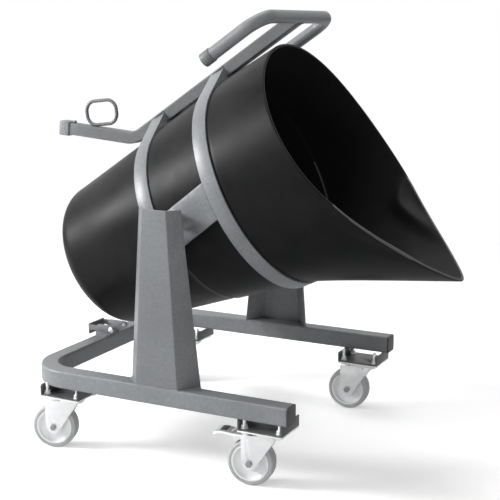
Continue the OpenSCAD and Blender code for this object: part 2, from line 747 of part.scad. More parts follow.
// Brake pedal on the front right castor
pin_over_tyre = 6;
brake_pin_z = 2 * wheel_r + brake_pin_r + pin_over_tyre;
pedal_boss = 2.5;
pedal_hub_r = brake_pin_r + pedal_boss;
pedal_rise = 7;
pin_head = 1.5;
bend_1 = 0.4;
bend_2 = 0.62;
bend_3 = 0.84;
shoe_front = 0.12;
shoe_depth = 30;
pedal_w = 2 * (fork_in - end_float);
module brake_pin() {
    color("silver") in_castor(0) translate([-brake_pin_back, 0, brake_pin_z]) {
        rod_y(brake_pin_r, -fork_in - fork_t, fork_in + fork_t);
        both_sides() rod_y(brake_pin_r + pin_head, -fork_in - fork_t - pin_head, -fork_in - fork_t);
    }
}
module pedal_outline() {
    back = pedal_reach - brake_pin_back;
    difference() {
        union() {
            circle(pedal_hub_r);
            polygon([[0, pedal_t / 2], [-bend_1 * back, pedal_t], [-bend_2 * back, pedal_t + pedal_rise],
                [-bend_3 * back, pedal_t + pedal_rise], [-back, pedal_t], [-back, 0],
                [-bend_3 * back, pedal_rise], [-bend_2 * back, pedal_rise], [-bend_1 * back, 0],
                [-bend_1 * back, -shoe_depth], [-shoe_front * back, -shoe_depth], [0, -pedal_t]]);
        }
        circle(brake_pin_r + run_fit);
    }
}
module brake_pedal() {
    color("silver") in_castor(0) translate([-brake_pin_back, 0, brake_pin_z]) difference() {
        along_y(-pedal_w / 2, pedal_w / 2) pedal_outline();
        translate([brake_pin_back - trail, 0, wheel_r - brake_pin_z])
            rod_y(wheel_r + shoe_gap, -pedal_w, pedal_w);
    }
}

// Catch for the tail: two cheeks on the crossbar and a bail riveted to them
cheek_y = cheek_pitch / 2;
cheek_cut = 8;
module at_bail() { on_floor() translate([bail_x, 0, rail_top + bail_z]) children(); }
module catch_cheeks() {
    color("dimgray") on_floor() both_sides() translate([0, -cheek_y, rail_top]) difference() {
        along_y(-cheek_t / 2, cheek_t / 2) cheek_outline();
        translate([bail_x, 0, bail_z]) rod_y(rivet_r, -cheek_t, cheek_t);
    }
}
module cheek_outline() {
    nose_r = cheek_h - bail_z;
    translate([bail_x, bail_z]) circle(nose_r);
    polygon([[cheek_at, 0], [tube - tube_edge, 0], [bail_x + nose_r, bail_z], [bail_x, cheek_h],
        [cheek_at + cheek_cut, cheek_h], [cheek_at, cheek_h - cheek_cut]]);
}
bail_in = cheek_y + cheek_t / 2 + end_float;
rivet_head_t = 3;
module bail_rivets() {
    color("silver") at_bail() both_sides() {
        rod_y(rivet_r, -bail_in - bail_t - end_float, cheek_t / 2 - cheek_y);
        rod_y(rivet_r + rivet_head_t, -bail_in - bail_t - end_float - rivet_head_t, -bail_in - bail_t - end_float);
    }
}
bail_rear = 11;
bail_reach = bail_x + bail_rear;
bail_lift = 2;
module catch_bail() {
    color("gray") at_bail() {
        both_sides() along_y(-bail_in - bail_t, -bail_in) difference() {
            union() {
                circle(bail_h / 2);
                translate([-bail_reach, -bail_h / 2]) square([bail_reach, bail_h]);
            }
            circle(rivet_r + run_fit);
        }
        translate([-bail_reach - bail_t, -bail_in - bail_t, bail_lift - bail_z])
            cube([bail_t, 2 * (bail_in + bail_t), cheek_h - bail_lift]);
    }
}

base_frame();
rail_plugs();
pedestal_right();
pedestal_left();
pivot_bosses();
pivot_bushes();
castor_bracket(0);  // castor_bracket_front_right
castor_bracket(1);  // castor_bracket_front_left
castor_bracket(2);  // castor_bracket_rear_right
castor_bracket(3);  // castor_bracket_rear_left
castor_plate(0);  // castor_plate_front_right
castor_plate(1);  // castor_plate_front_left
castor_plate(2);  // castor_plate_rear_right
castor_plate(3);  // castor_plate_rear_left
castor_bolts();
castor_nuts();
castor_fork(0);  // fork_front_right
castor_fork(1);  // fork_front_left
castor_fork(2);  // fork_rear_right
castor_fork(3);  // fork_rear_left
axle(0);  // axle_front_right
axle(1);  // axle_front_left
axle(2);  // axle_rear_right
axle(3);  // axle_rear_left
hub(0);  // hub_front_right
hub(1);  // hub_front_left
hub(2);  // hub_rear_right
hub(3);  // hub_rear_left
tyre(0);  // tyre_front_right
tyre(1);  // tyre_front_left
tyre(2);  // tyre_rear_right
tyre(3);  // tyre_rear_left
brake_pedal();
brake_pin();
catch_cheeks();
bail_rivets();
catch_bail();
hoop_front();
hoop_rear();
side_plate_right();
side_plate_left();
hoop_gussets();
pivot_pins();
spine_tube();
tail_tube();
tail_catch();
ring_handle();
handle_tube();
handle_caps();
barrel();
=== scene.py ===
"""The looks of a cement tipping cart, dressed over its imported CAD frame.

The barrel's form comes first, then the finishes, the CAD pieces with rounded edges, the wheels, the
welds and fixings, the brake pedal and the catch's rivets, and last the studio and the camera.
Sizes are in metres and places in the CAD's frame, with angles round the barrel in degrees.
"""
import json
import math

import bmesh
import bpy
from mathutils import Matrix, Vector


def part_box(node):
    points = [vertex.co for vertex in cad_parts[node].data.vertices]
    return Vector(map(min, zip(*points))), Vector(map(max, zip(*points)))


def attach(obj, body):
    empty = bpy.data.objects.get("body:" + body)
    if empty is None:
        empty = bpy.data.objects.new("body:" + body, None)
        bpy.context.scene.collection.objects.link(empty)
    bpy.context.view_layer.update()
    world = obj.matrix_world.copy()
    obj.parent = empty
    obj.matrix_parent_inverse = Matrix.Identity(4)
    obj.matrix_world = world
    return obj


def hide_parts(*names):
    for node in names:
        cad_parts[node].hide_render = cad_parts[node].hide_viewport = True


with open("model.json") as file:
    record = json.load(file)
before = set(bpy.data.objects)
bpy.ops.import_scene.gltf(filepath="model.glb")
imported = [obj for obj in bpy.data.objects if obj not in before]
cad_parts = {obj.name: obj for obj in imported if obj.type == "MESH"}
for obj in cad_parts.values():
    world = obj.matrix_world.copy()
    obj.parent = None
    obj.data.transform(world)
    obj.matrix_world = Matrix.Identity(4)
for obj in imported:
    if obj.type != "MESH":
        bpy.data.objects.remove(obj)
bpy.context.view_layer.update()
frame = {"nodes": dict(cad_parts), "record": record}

MM = 0.001

# Places taken from the frame
JOINTS = {j["name"]: j for j in frame["record"]["behaviour"]["joints"]}
PIVOT = Vector(JOINTS["tilt"]["pos_m"])
CORNERS = ("front_right", "front_left", "rear_right", "rear_left")

# The cradle: where its barrel, hoops, spine and tail lie
BARREL_LEAN = math.radians(26)
HOOP_AHEAD = 119 * MM
HOOP_PITCH = 185 * MM
SPINE_ANGLE = math.radians(33.9)
TAIL_SLOPE = math.radians(5)
SPINE = 28 * MM
SPINE_BACK = 62 * MM
SPINE_BEND_R = 66 * MM
SPINE_LEN = 413 * MM
TAIL_LEN = 187 * MM
STRAP_W = 35 * MM
STRAP_T = 5 * MM
STRAP_GAP = 0.3 * MM
SPINE_OVER = 0.5 * MM
HANDLE_D = 28 * MM


def tilt_frame(place, angle):
    """A frame that stands at place and leans its X axis up by angle."""
    return Matrix.Translation(place) @ Matrix.Rotation(-angle, 4, "Y")


BARREL = tilt_frame(PIVOT, BARREL_LEAN) @ Matrix.Translation((HOOP_AHEAD, 0, 0))

# Barrel
BARREL_R = 240.5 * MM
LOWER_TAPER = math.tan(math.radians(7.75))
UPPER_TAPER = math.tan(math.radians(4.6))
BARREL_BACK = 485 * MM
BASE_CORNER_R = 44 * MM
REAR_STEP = 2.5 * MM
FRONT_STEP = 2 * MM
STEP_LEN = 3 * MM
WALL = 6 * MM
WALL_START = STRAP_W / 2 + STEP_LEN

# Rim and lip: the lip stands out within LIP_HALF of the underside
RIM_AHEAD = 172 * MM
RIM_R = 255 * MM
LIP_R = 361 * MM
LIP_AHEAD = 331 * MM
LIP_HALF = 53.0
LIP_POWER = 2.1
RIM_POWER = 2.1
LIP_ROUND = 0.05

# The fold that pinches each flank of the lip, and the share of it that shows outside
PINCH_DEPTH = 13 * MM
PINCH_BELOW = 46 * MM
PINCH_W = 20 * MM
PINCH_LOW = 14.0
PINCH_HIGH = 66.0
PINCH_POWER = 1.6
OUTER_FOLD = 0.25

# Rows of the barrel's mesh: shares of the flat base, the base's corner, shares of the way to the rear
# hoop, step lengths past that hoop's edge, places under the front hoop, the upper wall and the rim
BASE_ROWS = (0.15, 0.5, 0.8)
CORNER_ROWS = 13
TAPER_ROWS = (0.25, 0.5, 0.75, 0.96, 1)
STEP_ROWS = (1, 1.5, 8, 24, 40)
HOOP_ROWS = (-STRAP_W / 2, STRAP_W / 2 - 0.6 * MM, STRAP_W / 2)
WALL_ROWS = 44
RIM_ROWS = 5
LOW_ROWS = len(BASE_ROWS) + CORNER_ROWS + len(TAPER_ROWS) + len(STEP_ROWS) + len(HOOP_ROWS)
AROUND = 300
ROW_SPREAD = 0.8
WALL_TOP = 0.988

# Where the painted highlight shows: on the rim, in a band below it, and at the step inside
HIGHLIGHT_RIM_TO = 64
HIGHLIGHT_STEP_TO = 94
HIGHLIGHT_BAND_FROM = 22
HIGHLIGHT_BAND_TO = 54
HIGHLIGHT_BAND_ROWS = 1
RIM_START = LOW_ROWS + WALL_ROWS + 1
INNER_STEP = LOW_ROWS + 2 * (WALL_ROWS + 1) + RIM_ROWS - 1

# The spine lies on the hoops and the tail bends down from its rear end
BARREL_UNDER_REAR = BARREL_R - REAR_STEP - HOOP_PITCH * LOWER_TAPER
SPINE_DEV = SPINE_ANGLE - BARREL_LEAN
SPINE_OFF = (BARREL_UNDER_REAR + STRAP_GAP + STRAP_T + SPINE_OVER + SPINE / 2 / math.cos(SPINE_DEV)
             + STRAP_W / 2 * math.tan(SPINE_DEV))
SPINE_FRAME = BARREL @ Matrix.Translation((-HOOP_PITCH, 0, SPINE_OFF)) @ Matrix.Rotation(-SPINE_DEV, 4, "Y")
TAIL_FRAME = (SPINE_FRAME @ Matrix.Translation((-SPINE_BACK, 0, SPINE_BEND_R))
              @ Matrix.Rotation(SPINE_ANGLE + TAIL_SLOPE, 4, "Y") @ Matrix.Translation((0, 0, -SPINE_BEND_R)))


def lower_r(a):
    """The outer radius at a along the barrel, up to the front hoop, without the rear step."""
    return BARREL_R - (STRAP_W / 2 - a) * LOWER_TAPER


def upper_r(a):
    """The outer radius at a, past the front hoop, without the lip."""
    return BARREL_R + FRONT_STEP + (a - WALL_START) * UPPER_TAPER


def lip_share(p):
    """How far the lip stands out at the angle p from the underside, from 0 to 1."""
    if p >= LIP_HALF:
        return 0.0
    return (1 - (math.hypot(p / LIP_HALF, LIP_ROUND) - LIP_ROUND)) ** LIP_POWER


def rim_at(p):
    """The rim's radius at the angle p."""
    return RIM_R + (LIP_R - RIM_R) * lip_share(p)


def rim_a(p):
    """How far along the barrel the rim lies at the angle p."""
    rise = (RIM_R + rim_at(p) * math.cos(math.radians(p))) / (RIM_R + LIP_R)
    return RIM_AHEAD + (LIP_AHEAD - RIM_AHEAD) * rise ** RIM_POWER


def pinch_share(p):
    """How strong the fold is at the angle p, from 0 to 1."""
    if p <= PINCH_LOW or p >= PINCH_HIGH:
        return 0.0
    return math.sin(math.pi * ((p - PINCH_LOW) / (PINCH_HIGH - PINCH_LOW)) ** PINCH_POWER)


def wall_point(p, t, inset, fold):
    """(a, r) of the upper wall at the angle p from the underside and the share t of its height."""
    a = WALL_START + t * (rim_a(p) - WALL_START)
    share = pinch_share(p)
    below = rim_a(p) - a - PINCH_BELOW * share
    pinch = PINCH_DEPTH * share * math.exp(-(below / PINCH_W) ** 2)
    r = upper_r(a) + t * (rim_at(p) - upper_r(rim_a(p))) - inset - fold * pinch
    return a, r


def wall_share(k):
    """The share of the upper wall's height at its row k. The rows stand closer near the rim."""
    return (k / WALL_ROWS) ** ROW_SPREAD * WALL_TOP


def barrel_rows():
    """Rows of (a, r) functions of the angle, up the outside, over the rim and down the inside."""
    rows = []
    corner_a = BASE_CORNER_R - BARREL_BACK
    flat_r = lower_r(corner_a) - REAR_STEP - BASE_CORNER_R
    rear_edge = STRAP_W / 2 - HOOP_PITCH

    def low(inset):
        """The (a, r) of the base and the lower wall, which are round, moved inwards by inset."""
        out = [(inset - BARREL_BACK, flat_r * share) for share in BASE_ROWS]
        for i in range(CORNER_ROWS):
            q = math.pi / 2 * i / (CORNER_ROWS - 1)
            c = BASE_CORNER_R - inset
            out.append((corner_a - c * math.cos(q), flat_r + c * math.sin(q)))
        for share in TAPER_ROWS:
            a = corner_a + (rear_edge - corner_a) * share
            out.append((a, lower_r(a) - REAR_STEP - inset))
        for a in [rear_edge + STEP_LEN * steps for steps in STEP_ROWS] + list(HOOP_ROWS):
            out.append((a, lower_r(a) - inset))
        return out

    for a, r in low(0):
        rows.append(lambda p, a=a, r=r: (a, r))
    for k in range(WALL_ROWS + 1):
        t = wall_share(k)
        rows.append(lambda p, t=t: wall_point(p, t, 0, OUTER_FOLD))
    for k in range(1, RIM_ROWS + 1):
        q = math.pi * k / (RIM_ROWS + 1)
        rows.append(lambda p, q=q: rim_round(p, q))
    for k in range(WALL_ROWS, -1, -1):
        t = wall_share(k)
        rows.append(lambda p, t=t: wall_point(p, t, WALL, 1))
    for a, r in reversed(low(WALL)):
        rows.append(lambda p, a=a, r=r: (a, r))
    return rows


def rim_round(p, q):
    """The rim's round edge, from the outside (q = 0) over to the inside (q = pi)."""
    a0, r0 = wall_point(p, WALL_TOP, 0, OUTER_FOLD)
    a1, r1 = wall_point(p, WALL_TOP, WALL, 1)
    mid_a, mid_r = (a0 + a1) / 2, (r0 + r1) / 2
    top = rim_a(p) - mid_a
    return mid_a + top * math.sin(q) + (a0 - a1) / 2 * math.cos(q), mid_r + (r0 - r1) / 2 * math.cos(q)


def new_object(name, data):
    """A new object in the scene."""
    made = bpy.data.objects.new(name, data)
    bpy.context.scene.collection.objects.link(made)
    return made


def finish_mesh(name, verts, faces, material, smooth_angle=35):
    """A new piece of these vertices and faces, shaded smooth up to the angle."""
    mesh = bpy.data.meshes.new(name)
    mesh.from_pydata([tuple(v) for v in verts], [], faces)
    mesh.validate()
    mesh.materials.append(material)
    piece = new_object(name, mesh)
    make_smooth(mesh, smooth_angle)
    return piece


def make_smooth(mesh, angle):
    """Smooth shading, with each edge sharp that turns by more than the angle."""
    bm = bmesh.new()
    bm.from_mesh(mesh)
    bmesh.ops.recalc_face_normals(bm, faces=bm.faces)
    limit = math.radians(angle)
    for f in bm.faces:
        f.smooth = True
    for e in bm.edges:
        e.smooth = not (len(e.link_faces) == 2 and e.calc_face_angle(0) > limit)
    bm.to_mesh(mesh)
    bm.free()


def barrel_shell(material):
    """The barrel as one closed shell, with a painted highlight on the rim, a band below it and the inner
    step, and a lighter copy of its plastic inside as painted light.
    """
    rows = barrel_rows()
    verts = []
    for row in rows:
        for k in range(AROUND):
            turn = 2 * math.pi * k / AROUND
            p = abs((math.degrees(turn) + 180) % 360 - 180)
            a, r = row(p)
            verts.append(BARREL @ Vector((a, r * math.sin(turn), -r * math.cos(turn))))
    outer = len(verts)
    verts.append(BARREL @ Vector((-BARREL_BACK, 0, 0)))
    verts.append(BARREL @ Vector((WALL - BARREL_BACK, 0, 0)))
    faces = []
    for j in range(len(rows) - 1):
        for k in range(AROUND):
            n = (k + 1) % AROUND
            faces.append((j * AROUND + k, j * AROUND + n, (j + 1) * AROUND + n, (j + 1) * AROUND + k))
    last = (len(rows) - 1) * AROUND
    for k in range(AROUND):
        n = (k + 1) % AROUND
        faces.append((k, outer, n))
        faces.append((last + k, last + n, outer + 1))
    piece = finish_mesh("barrel_shell", verts, faces, material, 60)
    piece.data.materials.append(RIM_HIGHLIGHT)
    piece.data.materials.append(INSIDE_PAINTED_LIGHT)
    # Faces on the rim, in a band below it and on the step inside take the painted highlight; the inside faces
    # take the lighter copy, which is painted light.
    for face in piece.data.polygons:
        row, k = divmod(face.index, AROUND)
        p = abs((360 * (k + 0.5) / AROUND + 180) % 360 - 180)
        on_rim = RIM_START <= row < RIM_START + RIM_ROWS and p < HIGHLIGHT_RIM_TO
        below_rim = RIM_START - HIGHLIGHT_BAND_ROWS <= row < RIM_START and HIGHLIGHT_BAND_FROM < p < HIGHLIGHT_BAND_TO
        if on_rim or below_rim or (row == INNER_STEP and p < HIGHLIGHT_STEP_TO):
            face.material_index = 1
        elif row >= RIM_START + RIM_ROWS and face.index < (len(rows) - 1) * AROUND:
            face.material_index = 2
    return piece


# Node groups
def new_group(name, inputs, outputs):
    """A shader node group with these inputs and outputs."""
    tree = bpy.data.node_groups.new(name, "ShaderNodeTree")
    for label, kind, value in inputs:
        s = tree.interface.new_socket(label, in_out="INPUT", socket_type=kind)
        s.default_value = value
    for label, kind in outputs:
        tree.interface.new_socket(label, in_out="OUTPUT", socket_type=kind)
    return tree, tree.nodes.new("NodeGroupInput"), tree.nodes.new("NodeGroupOutput")


def add(tree, kind, links=(), **settings):
    """A node with its settings and its inputs: links is a list of (input, socket or value)."""
    node = tree.nodes.new(kind)
    for key, value in settings.items():
        setattr(node, key, value)
    for where, what in links:
        if isinstance(what, bpy.types.NodeSocket):
            tree.links.new(what, node.inputs[where])
        else:
            node.inputs[where].default_value = what
    return node


def math_node(tree, operation, a, b=0.5, clamp=False):
    """The result of a math node on sockets or values."""
    return add(tree, "ShaderNodeMath", [(0, a), (1, b)], operation=operation, use_clamp=clamp).outputs[0]


def ramp(tree, value, low, high):
    """0 at low, 1 at high and even between them."""
    links = [("Value", value), ("From Min", low), ("From Max", high)]
    return add(tree, "ShaderNodeMapRange", links, clamp=True).outputs["Result"]


def object_noise(tree, scale, detail, roughness, place=None):
    """A noise on the piece's own coordinates, or on the place given."""
    where = place or add(tree, "ShaderNodeTexCoord").outputs["Object"]
    links = [("Vector", where), ("Scale", scale), ("Detail", detail), ("Roughness", roughness)]
    return add(tree, "ShaderNodeTexNoise", links).outputs["Fac"]


def edge_wear_group():
    """A mask of the worn edges: where a rounded normal leaves the true one, broken up by noise."""
    tree, inp, out = new_group("edge_wear", [
        ("Radius", "NodeSocketFloat", 1.5 * MM), ("Amount", "NodeSocketFloat", 0.5),
        ("Break Up", "NodeSocketFloat", 60.0)],
        [("Mask", "NodeSocketFloat")])
    bevel = add(tree, "ShaderNodeBevel", [("Radius", inp.outputs["Radius"])], samples=4)
    geo = add(tree, "ShaderNodeNewGeometry")
    dot = add(tree, "ShaderNodeVectorMath", [(0, bevel.outputs[0]), (1, geo.outputs["True Normal"])],
              operation="DOT_PRODUCT").outputs["Value"]
    edge = ramp(tree, math_node(tree, "SUBTRACT", 1.0, dot), 0.02, 0.2)
    patch = ramp(tree, object_noise(tree, inp.outputs["Break Up"], 4.0, 0.65), 0.47, 0.62)
    worn = math_node(tree, "MULTIPLY", edge, patch)
    mask = math_node(tree, "MULTIPLY", worn, inp.outputs["Amount"], clamp=True)
    tree.links.new(mask, out.inputs["Mask"])
    return tree


def coat_grain_group():
    """The fine orange peel of a sprayed coat, and its broad uneven tint."""
    tree, inp, out = new_group("coat_grain", [
        ("Grain Scale", "NodeSocketFloat", 900.0), ("Tint Scale", "NodeSocketFloat", 7.0),
        ("Mottle Scale", "NodeSocketFloat", 160.0)],
        [("Height", "NodeSocketFloat"), ("Tint", "NodeSocketFloat"), ("Mottle", "NodeSocketFloat")])
    grain = object_noise(tree, inp.outputs["Grain Scale"], 3.0, 0.55)
    broad = object_noise(tree, inp.outputs["Tint Scale"], 5.0, 0.6)
    mottle = object_noise(tree, inp.outputs["Mottle Scale"], 3.0, 0.6)
    tree.links.new(grain, out.inputs["Height"])
    tree.links.new(ramp(tree, mottle, 0.36, 0.64), out.inputs["Mottle"])
    tree.links.new(ramp(tree, broad, 0.3, 0.7), out.inputs["Tint"])
    return tree


def scuff_group():
    """Long fine scratches and rubbed patches."""
    tree, inp, out = new_group("scuffs", [
        ("Scale", "NodeSocketFloat", 40.0), ("Stretch", "NodeSocketVector", (1.0, 1.0, 14.0))],
        [("Mask", "NodeSocketFloat")])
    co = add(tree, "ShaderNodeTexCoord")
    mapped = add(tree, "ShaderNodeVectorMath", [(0, co.outputs["Object"]), (1, inp.outputs["Stretch"])],
                 operation="MULTIPLY")
    lines = object_noise(tree, inp.outputs["Scale"], 6.0, 0.7, mapped.outputs[0])
    tree.links.new(ramp(tree, lines, 0.6, 0.78), out.inputs["Mask"])
    return tree


def dust_group():
    """Fine dust that settles on what faces up, thicker in patches."""
    tree, inp, out = new_group("dust", [
        ("Amount", "NodeSocketFloat", 0.2), ("Scale", "NodeSocketFloat", 18.0)],
        [("Mask", "NodeSocketFloat")])
    geo = add(tree, "ShaderNodeNewGeometry")
    up = add(tree, "ShaderNodeSeparateXYZ", [(0, geo.outputs["Normal"])]).outputs["Z"]
    noise = object_noise(tree, inp.outputs["Scale"], 6.0, 0.7)
    patch = math_node(tree, "MULTIPLY", ramp(tree, up, 0.2, 1.0), ramp(tree, noise, 0.35, 0.75))
    tree.links.new(math_node(tree, "MULTIPLY", patch, inp.outputs["Amount"], clamp=True), out.inputs["Mask"])
    return tree


WEAR = edge_wear_group()
GRAIN = coat_grain_group()
SCUFFS = scuff_group()
DUST = dust_group()


def group(tree, which, **values):
    """A node that holds the group, with these values. A _ in a keyword stands for a space."""
    node = tree.nodes.new("ShaderNodeGroup")
    node.node_tree = which
    for key, value in values.items():
        node.inputs[key.replace("_", " ")].default_value = value
    return node


def mix_colour(tree, factor, a, b):
    """The colour a where the factor is 0, and b where it is 1."""
    node = tree.nodes.new("ShaderNodeMix")
    node.data_type = "RGBA"
    for where, what in ((0, factor), (6, a), (7, b)):
        if isinstance(what, bpy.types.NodeSocket):
            tree.links.new(what, node.inputs[where])
        else:
            node.inputs[where].default_value = (*what, 1.0) if isinstance(what, tuple) else what
    return node.outputs[2]


def new_material(name):
    material = bpy.data.materials.new(name)
    material.use_nodes = True
    tree = material.node_tree
    return material, tree, tree.nodes["Principled BSDF"]


def grain_bump(tree, shader, coat, strength, distance):
    """The coat's grain as bumps in the surface."""
    bump = add(tree, "ShaderNodeBump", [
        ("Strength", strength), ("Distance", distance), ("Height", coat.outputs["Height"])])
    tree.links.new(bump.outputs[0], shader.inputs["Normal"])


def coated(name, colour, shade, rough=0.45, wear=0.5, bare=(0.42, 0.41, 0.39), grain=0.12,
           grain_scale=900.0, dust=0.12, metallic=0.0, specular=0.5, tint_scale=7.0, scuff=0.15,
           mottle=0.0):
    """A sprayed or moulded coat: broad tint, grain, worn edges, fine scuffs and dust."""
    material, tree, shader = new_material(name)
    coat = group(tree, GRAIN, Grain_Scale=grain_scale, Tint_Scale=tint_scale)
    worn = group(tree, WEAR, Radius=1.5 * MM, Amount=wear)
    marks = group(tree, SCUFFS)
    grime = group(tree, DUST, Amount=dust)
    tinted = mix_colour(tree, coat.outputs["Tint"], shade, colour)
    base = mix_colour(tree, math_node(tree, "MULTIPLY", coat.outputs["Mottle"], mottle), tinted,
                      tuple(value * 0.6 for value in shade))
    rubbed = mix_colour(tree, math_node(tree, "MULTIPLY", marks.outputs["Mask"], scuff), base, bare)
    edged = mix_colour(tree, worn.outputs["Mask"], rubbed, bare)
    dusty = mix_colour(tree, grime.outputs["Mask"], edged, (0.4, 0.39, 0.37))
    tree.links.new(dusty, shader.inputs["Base Color"])
    spread = math_node(tree, "MULTIPLY", coat.outputs["Tint"], 0.12)
    rough_now = math_node(tree, "ADD", math_node(tree, "ADD", spread, rough - 0.06),
                          math_node(tree, "MULTIPLY", grime.outputs["Mask"], 0.3), clamp=True)
    tree.links.new(rough_now, shader.inputs["Roughness"])
    shader.inputs["Metallic"].default_value = metallic
    shader.inputs["Specular IOR Level"].default_value = specular
    grain_bump(tree, shader, coat, grain, 0.3 * MM)
    return material


def zinc_plate():
    """Bright zinc: metal with a faint yellow and blue cast, fine brushing and duller patches."""
    material, tree, shader = new_material("bright_zinc")
    coat = group(tree, GRAIN, Grain_Scale=500.0, Tint_Scale=30.0)
    marks = group(tree, SCUFFS, Scale=90.0)
    worn = group(tree, WEAR, Radius=0.8 * MM, Amount=0.6)
    base = mix_colour(tree, coat.outputs["Tint"], (0.78, 0.79, 0.81), (0.88, 0.88, 0.87))
    scored = mix_colour(tree, math_node(tree, "MULTIPLY", marks.outputs["Mask"], 0.4), base, (0.6, 0.6, 0.6))
    edged = mix_colour(tree, worn.outputs["Mask"], scored, (0.93, 0.93, 0.92))
    tree.links.new(edged, shader.inputs["Base Color"])
    rough = math_node(tree, "ADD", math_node(tree, "MULTIPLY", coat.outputs["Tint"], 0.14), 0.26)
    tree.links.new(rough, shader.inputs["Roughness"])
    shader.inputs["Metallic"].default_value = 0.7
    grain_bump(tree, shader, coat, 0.08, 0.2 * MM)
    return material


GREY = coated("grey_powder_coat", (0.235, 0.245, 0.257), (0.183, 0.191, 0.201), rough=0.42, mottle=0.3)
DARK = coated("dark_powder_coat", (0.098, 0.101, 0.106), (0.07, 0.072, 0.076), rough=0.42, mottle=0.3)
BLACK = coated("black_moulded_plastic", (0.0125, 0.0127, 0.013), (0.0055, 0.0057, 0.006), rough=0.4,
               wear=0.35, bare=(0.06, 0.06, 0.062), grain=0.1, grain_scale=350.0, dust=0.03,
               tint_scale=9.0, scuff=0.3, specular=0.085)
# A lighter copy of the barrel's plastic for the inside walls, as painted light.
INSIDE_PAINTED_LIGHT = coated("barrel_inside_painted_light_plastic", (0.019, 0.0192, 0.0195), (0.012, 0.0122, 0.0125),
                rough=0.42, wear=0.1, bare=(0.05, 0.05, 0.052), grain=0.08, grain_scale=350.0,
                dust=0.04, tint_scale=4.0, scuff=0.3, specular=0.06)
# A lighter grey plastic as a painted highlight on the rim's edge, the band below the rim and the step inside.
RIM_HIGHLIGHT = coated("painted_rim_highlight_plastic", (0.09, 0.09, 0.092), (0.06, 0.06, 0.062), rough=0.5, wear=0.2,
                 bare=(0.14, 0.14, 0.14), grain=0.12, dust=0.0, tint_scale=20.0)
ZINC = zinc_plate()
RUBBER = coated("light_grey_rubber", (0.5, 0.5, 0.5), (0.42, 0.42, 0.42), rough=0.6, wear=0.2,
                bare=(0.5, 0.5, 0.48), grain=0.2, dust=0.25, tint_scale=25.0, specular=0.35)
HUB = coated("hub_nylon", (0.86, 0.87, 0.88), (0.79, 0.8, 0.81), rough=0.45, wear=0.2, bare=(0.9, 0.9, 0.9),
             grain=0.08, dust=0.08)
PLUG = coated("plug_plastic", (0.05, 0.05, 0.052), (0.035, 0.035, 0.037), rough=0.5, wear=0.3,
              bare=(0.2, 0.2, 0.2))
SLEEVE = coated("sleeve_plastic", (0.15, 0.155, 0.16), (0.12, 0.124, 0.13), rough=0.5, wear=0.2,
                bare=(0.3, 0.3, 0.3))
BRONZE = coated("oiled_bronze", (0.5, 0.34, 0.17), (0.38, 0.25, 0.12), rough=0.35, metallic=0.9,
                wear=0.3, bare=(0.7, 0.5, 0.28))
FINISHES = {"grey_paint": GREY, "dark_paint": DARK, "barrel_plastic": BLACK, "zinc_steel": ZINC,
            "hub_plastic": HUB, "tyre_rubber": RUBBER, "plug_plastic": PLUG,
            "cap_plastic": SLEEVE, "bush_bronze": BRONZE}
SLOT_OF = {s["node"]: s["material_slot"] for s in frame["record"]["subparts"]}
# A darker copy of the grey coat as painted shade, for the spine, tail and ring handle in the barrel's shade.
SPINE_SHADED_COAT = coated("spine_painted_shade_coat", (0.142, 0.146, 0.152), (0.112, 0.115, 0.12), rough=0.42, mottle=0.24)
AXLE_STEEL = coated("dull_axle_steel", (0.34, 0.34, 0.34), (0.25, 0.25, 0.25), rough=0.36,
                    metallic=0.6, wear=0.3, bare=(0.55, 0.55, 0.55))
# A darker copy of the grey coat as painted shade, for the pedestals, whose front flanges turn away from the
# lamps.
PEDESTAL_SHADED_COAT = coated("pedestal_painted_shade_coat", (0.203, 0.212, 0.222), (0.157, 0.164, 0.173), rough=0.42,
                       mottle=0.3)
# Nodes with a finish of their own: painted-shade copies of the grey coat, and the axle steel.
OWN_FINISH_AND_SHADE = {"spine_tube": SPINE_SHADED_COAT, "tail_tube": SPINE_SHADED_COAT, "ring_handle": SPINE_SHADED_COAT,
              "pedestal_right": PEDESTAL_SHADED_COAT, "pedestal_left": PEDESTAL_SHADED_COAT}
OWN_FINISH_AND_SHADE.update({"axle_" + corner: AXLE_STEEL for corner in CORNERS})


def finish_of(node):
    """The node's own finish, or its painted-shade copy of the grey coat, where it has one, and else the one
    of its slot.
    """
    return OWN_FINISH_AND_SHADE.get(node, FINISHES[SLOT_OF[node]])


for node, piece in frame["nodes"].items():
    piece.data.materials.clear()
    piece.data.materials.append(finish_of(node))


# Dressing a CAD node: its own mesh, merged, with its sharp edges rounded
def dressed(node, name, body, width, segments=3, angle=32):
    """A copy of the node with rounded edges, in its place."""
    source = frame["nodes"][node]
    bm = bmesh.new()
    bm.from_mesh(source.data)
    bmesh.ops.remove_doubles(bm, verts=bm.verts, dist=0.01 * MM)
    bmesh.ops.dissolve_limit(bm, angle_limit=math.radians(0.3), verts=bm.verts, edges=bm.edges)
    mesh = bpy.data.meshes.new(name)
    bm.to_mesh(mesh)
    bm.free()
    mesh.materials.append(finish_of(node))
    piece = new_object(name, mesh)
    round_edges(piece, width, segments, angle)
    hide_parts(node)
    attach(piece, body)
    return piece


def apply_modifiers(piece):
    """Turns what the modifiers make of the piece into its plain mesh."""
    graph = bpy.context.evaluated_depsgraph_get()
    mesh = bpy.data.meshes.new_from_object(piece.evaluated_get(graph))
    piece.modifiers.clear()
    old = piece.data
    piece.data = mesh
    bpy.data.meshes.remove(old)


def round_edges(piece, width, segments, angle):
    """Rounds each edge that turns by more than the angle."""
    bevel = piece.modifiers.new("edges", "BEVEL")
    bevel.width = width
    bevel.segments = segments
    bevel.limit_method = "ANGLE"
    bevel.angle_limit = math.radians(angle)
    apply_modifiers(piece)
    make_smooth(piece.data, 40)


barrel = barrel_shell(BLACK)
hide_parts("barrel")
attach(barrel, "cradle")

